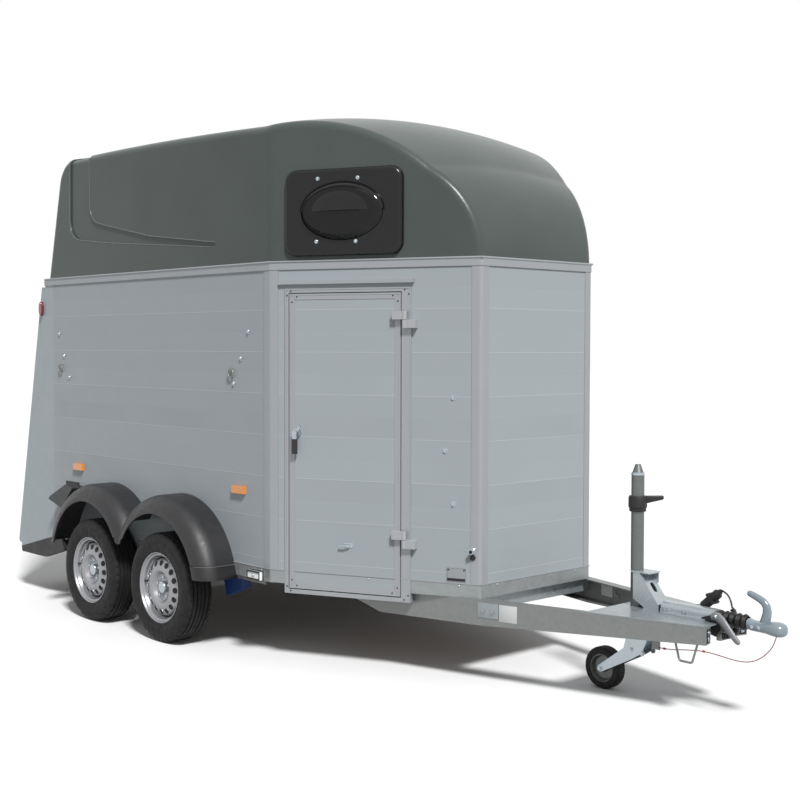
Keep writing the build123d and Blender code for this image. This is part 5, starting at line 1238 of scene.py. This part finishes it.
# %% Surrounds of the front lamps
LAMP_X, LAMP_Y, LAMP_Z = (652, 758), (-HALF_WIDTH - 58, -HALF_WIDTH - 34), (428, 470)
LIP = 5
LIP_REACH = ((LAMP_X[1] - LAMP_X[0]) / 2 - 2, (LAMP_Z[1] - LAMP_Z[0]) / 2 - 2)
lamp_mid = (sum(LAMP_X) / 2, sum(LAMP_Z) / 2)
bm = bmesh.new()
screws = bmesh.new()
for sign in (-1, 1):
    out = Vector((0, sign, 0))
    face_y = -LAMP_Y[0] * sign
    lip = [at(lamp_mid[0] + a * LIP_REACH[0], face_y, lamp_mid[1] + b * LIP_REACH[1]) for a, b in QUARTERS]
    swept(bm, lip, circle_section(LIP, 8), closed=True, up=(0, 1, 0))
    slab(bm, facing(at(lamp_mid[0], sign * -LAMP_Y[1], lamp_mid[1]), out), (114, 50, 7), 2.0)
    turned(screws, DOME_HEAD, facing(at(lamp_mid[0], face_y, lamp_mid[1]), out), 12)
add_piece("front_lamp_surrounds", bm, "black_plastic", "trailer")
add_piece("front_lamp_screws", screws, "zinc_plate", "trailer")

# %% [markdown]
# A tarpaulin closes the hood's open rear above the ramp, held at its head and its foot. It is a grid
# stretched between the two, as high as the roof's curve allows, with faint waves that fade towards the
# held edges. A modifier gives it the thickness of cloth.

# %% Rear curtain
CURTAIN_HALF = 858
CURTAIN_LOW = 2056
CURTAIN_STEPS = (48, 16)
HOOD_CROWN_R = 4.5
RIPPLE_WIDE, RIPPLE_FINE = 0.0035, 0.002
curtain_low, curtain_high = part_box("rear_curtain")
foot_x, head_x = curtain_low[0] + 0.010, curtain_high[0] - 0.012
head_z = curtain_high[2] - 0.006
foot_z = CURTAIN_LOW / 1000
bm = bmesh.new()
bmesh.ops.create_grid(bm, x_segments=CURTAIN_STEPS[0], y_segments=CURTAIN_STEPS[1], size=1.0)
for vertex in bm.verts:
    y = vertex.co.x * CURTAIN_HALF / 1000
    up = (vertex.co.y + 1) / 2
    rise = up * (head_z - y * y / (2 * HOOD_CROWN_R) - foot_z)
    ripple = (RIPPLE_WIDE * sin(17 * y) + RIPPLE_FINE * sin(41 * y + 3 * up)) * sin(pi * up)
    vertex.co = (foot_x + rise / (head_z - foot_z) * (head_x - foot_x) + abs(ripple), y, foot_z + rise)
curtain = add_piece("curtain_cloth", bm, "curtain_cloth", "trailer")
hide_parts("rear_curtain")
thick = curtain.modifiers.new("thickness", "SOLIDIFY")
thick.thickness = 0.0015
thick.offset = 0

# %% [markdown]
# Three cords hang at the coupling: the red breakaway cable, the straight start of the plug's lead, and
# its curly end. Each follows a few points read off the photograph, as a smooth curve with a round
# section, which keeps its thickness in every bend.

# %% Routes of the cords
BREAKAWAY_D = 0.004
BREAKAWAY_ROUTE = [at(*point) for point in (
    (2562, -55, 262), (2606, -56, 263), (2650, -55, 268), (2695, -53, 275), (2740, -52, 281),
    (2786, -52, 286), (2832, -51, 285), (2876, -49, 281), (2920, -46, 275), (2964, -44, 272),
    (3006, -43, 275), (3044, -42, 287), (3078, -40, 308), (3106, -38, 336), (3128, -36, 366),
    (3137, -30, 404),
)]
LEAD_D = 0.008
LEAD_ROUTE = [at(*point) for point in (
    (2812, 62, 543), (2836, 61, 535), (2854, 58, 518), (2866, 55, 496), (2872, 53, 473),
)]
CURLY_ROUTE = [at(*point) for point in (
    (2872, 53, 473), (2882, 55, 447), (2893, 56, 420), (2901, 50, 393), (2901, 32, 370), (2887, 8, 358),
    (2860, -4, 357),
)]
CURLY_WIRE_D = 0.007
CURLY_OVER = 0.029
CURLY_TURNS = 19


def nurbs_route(name, points, radius):
    """A cord's route as one smooth NURBS curve."""
    curve = bpy.data.curves.new(name, "CURVE")
    curve.dimensions = "3D"
    curve.resolution_u = 12
    curve.bevel_depth = radius
    curve.bevel_resolution = 5
    curve.use_fill_caps = True
    spline = curve.splines.new("NURBS")
    spline.points.add(len(points) - 1)
    for target, point in zip(spline.points, points):
        target.co = (*point, 1.0)
    spline.order_u = 3
    spline.use_endpoint_u = True
    piece = bpy.data.objects.new(name, curve)
    bpy.context.scene.collection.objects.link(piece)
    return piece


def route_points(piece):
    """The points along a curve that has no bevel."""
    mesh = bpy.data.meshes.new_from_object(piece)
    points = [vertex.co.copy() for vertex in mesh.vertices]
    bpy.data.meshes.remove(mesh)
    return points


def path_length(points):
    """The length of a line through points, in metres."""
    return sum((b - a).length for a, b in zip(points, points[1:]))


def finish_cord(piece, look):
    """A cord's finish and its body."""
    piece.data.materials.append(LOOKS[look])
    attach(piece, "trailer")


# %% [markdown]
# Each cord's length is measured along the finished curve, not between the points that guide it, and
# printed. Its thickness is the round section of its curve.

# %% Breakaway cable and plug lead
for name, route, diameter, look, cad_node, carried in (
    ("breakaway_line", BREAKAWAY_ROUTE, BREAKAWAY_D, "red_cable", "breakaway_cable", []),
    ("plug_lead_line", LEAD_ROUTE, LEAD_D, "lead_sheath", "plug_lead", [nodes["electric_plug"]]),
):
    centre_line = nurbs_route(name + "_route", route, 0.0)
    length = path_length(route_points(centre_line))
    print(f"{name}: {length:.3f} m long")
    bpy.data.objects.remove(centre_line)
    piece = nurbs_route(name, route, diameter / 2)
    finish_cord(piece, look)
    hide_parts(cad_node)

# %% [markdown]
# The curly lead is a wire wound round its own route. The route is turned into points, and a circle that
# moves along it and stays square to it gives the coil. The turns narrow at both ends, where the wire
# enters its holders.

# %% Curly lead
centre_line = nurbs_route("curly_route", CURLY_ROUTE, 0.0)
spine = route_points(centre_line)
bpy.data.objects.remove(centre_line)
distances = [0.0]
for a, b in zip(spine, spine[1:]):
    distances.append(distances[-1] + (b - a).length)
spine_length = distances[-1]


def on_spine(share):
    """The point and direction at a share of the curly lead's route."""
    wanted = share * spine_length
    for i in range(1, len(spine)):
        if distances[i] >= wanted or i == len(spine) - 1:
            part = (wanted - distances[i - 1]) / (distances[i] - distances[i - 1])
            return spine[i - 1].lerp(spine[i], part), (spine[i] - spine[i - 1]).normalized()


STEPS_A_TURN = 14
coil_points = []
winding = (CURLY_OVER - CURLY_WIRE_D) / 2
sideways = Vector((0, 1, 0))
for i in range(CURLY_TURNS * STEPS_A_TURN + 1):
    share = i / (CURLY_TURNS * STEPS_A_TURN)
    point, ahead = on_spine(share)
    sideways = (sideways - ahead * sideways.dot(ahead)).normalized()
    other = ahead.cross(sideways)
    angle = 2 * pi * i / STEPS_A_TURN
    reach = winding * min(1.0, 0.5 + share * CURLY_TURNS * 0.5, 0.5 + (1 - share) * CURLY_TURNS * 0.5)
    coil_points.append(point + (sideways * cos(angle) + other * sin(angle)) * reach)
coil = nurbs_route("curly_lead_coil", coil_points, CURLY_WIRE_D / 2)
finish_cord(coil, "lead_sheath")
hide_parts("curly_lead")
bare = nurbs_route("coil_route", coil_points, 0.0)
coil_length = path_length(route_points(bare))
print(f"curly lead: {coil_length:.3f} m of wire on {spine_length:.3f} m of route")
bpy.data.objects.remove(bare)

# %% [markdown]
# The trailer stands on a wide pale floor. Seen directly or in a reflection it is nearly white, but it
# bounces little light, so that it doesn't brighten the underside of the object as a real white floor
# would.

# %% Floor
FLOOR_REACH = 60.0
bm = bmesh.new()
bmesh.ops.create_grid(bm, x_segments=1, y_segments=1, size=FLOOR_REACH)
floor_mesh = bpy.data.meshes.new("studio_floor")
bm.to_mesh(floor_mesh)
bm.free()
floor = bpy.data.objects.new("studio_floor", floor_mesh)
bpy.context.scene.collection.objects.link(floor)
floor_look = Graph("studio_floor", 0.9)
FLOOR_SEEN = (0.93, 0.93, 0.93, 1.0)
FLOOR_BOUNCE = (0.3, 0.3, 0.3, 1.0)
floor_rays = floor_look.tree.nodes.new("ShaderNodeLightPath")
camera_ray, glossy_ray, through_ray = [
    floor_rays.outputs[f"Is {kind} Ray"] for kind in ("Camera", "Glossy", "Transmission")]
shown = floor_look.math("MAXIMUM", camera_ray, floor_look.math("MAXIMUM", glossy_ray, through_ray))
floor_look.colour(floor_look.mix(shown, FLOOR_BOUNCE, FLOOR_SEEN))
floor_mesh.materials.append(floor_look.material)

# %% [markdown]
# An even sky fills the shadows. Its strength is 1 where it is seen, directly or in metal and glass, and
# much lower where it lights the object.

# %% Sky
world = bpy.data.worlds.new("studio")
bpy.context.scene.world = world
world.use_nodes = True
sky = world.node_tree.nodes
links = world.node_tree.links
background = sky["Background"]
rays = sky.new("ShaderNodeLightPath")
seen = sky.new("ShaderNodeMath")
seen.operation = "MAXIMUM"
links.new(rays.outputs["Is Camera Ray"], seen.inputs[0])
glossy = sky.new("ShaderNodeMath")
glossy.operation = "MAXIMUM"
links.new(rays.outputs["Is Glossy Ray"], glossy.inputs[0])
links.new(rays.outputs["Is Transmission Ray"], glossy.inputs[1])
links.new(glossy.outputs[0], seen.inputs[1])
level = sky.new("ShaderNodeMapRange")
AMBIENT = 0.34
level.inputs["To Min"].default_value = AMBIENT
level.inputs["To Max"].default_value = 1.0
links.new(seen.outputs[0], level.inputs["Value"])
links.new(level.outputs[0], background.inputs["Strength"])
background.inputs["Color"].default_value = (1, 1, 1, 1)

# %% [markdown]
# One soft sun from the front right gives the sides different tones and draws a shadow with a soft edge.

# %% Sun
sun_data = bpy.data.lights.new("soft_sun", "SUN")
sun_data.energy = 3.5
sun_data.angle = radians(9)
sun = bpy.data.objects.new("soft_sun", sun_data)
bpy.context.scene.collection.objects.link(sun)
SUN_FROM = Vector((0.60, -0.30, 0.74))
sun.rotation_euler = SUN_FROM.to_track_quat("Z", "Y").to_euler()

# %% [markdown]
# The camera stands where the photograph's camera stood. Its place, its turn and its focal length were
# fitted to straight edges, wheels and ground, and the small shift centres the picture as the
# photograph's frame does.

# %% Camera
CAMERA_FROM_AXLE = (5974.8, -4866.6, 1623.8)
CAMERA_YAW, CAMERA_PITCH, CAMERA_ROLL = radians(47.695), radians(-1.840), radians(0.116)
FOCAL_PIXELS, CENTRE_X, CENTRE_Y, FRAME = 1281.6, 380.58, 387.29, 800
SENSOR = 36.0
forward = cos(CAMERA_PITCH)
ahead = Vector((-sin(CAMERA_YAW) * forward, cos(CAMERA_YAW) * forward, sin(CAMERA_PITCH)))
level_right = Vector((cos(CAMERA_YAW), sin(CAMERA_YAW), 0))
level_up = level_right.cross(ahead)
camera_right = level_right * cos(CAMERA_ROLL) + level_up * sin(CAMERA_ROLL)
camera_up = level_up * cos(CAMERA_ROLL) - level_right * sin(CAMERA_ROLL)
camera_data = bpy.data.cameras.new("photo_camera")
camera_data.sensor_width = SENSOR
camera_data.lens = FOCAL_PIXELS * SENSOR / FRAME
print(f"camera: lens {camera_data.lens:.1f} mm")
camera_data.shift_x = (FRAME / 2 - CENTRE_X) / FRAME
camera_data.shift_y = (CENTRE_Y - FRAME / 2) / FRAME
camera = bpy.data.objects.new("photo_camera", camera_data)
bpy.context.scene.collection.objects.link(camera)
camera_turn = Matrix((camera_right, camera_up, -ahead)).transposed().to_4x4()
camera.matrix_world = Matrix.Translation(at(*CAMERA_FROM_AXLE)) @ camera_turn
bpy.context.scene.camera = camera
bpy.context.scene.view_settings.view_transform = "Standard"
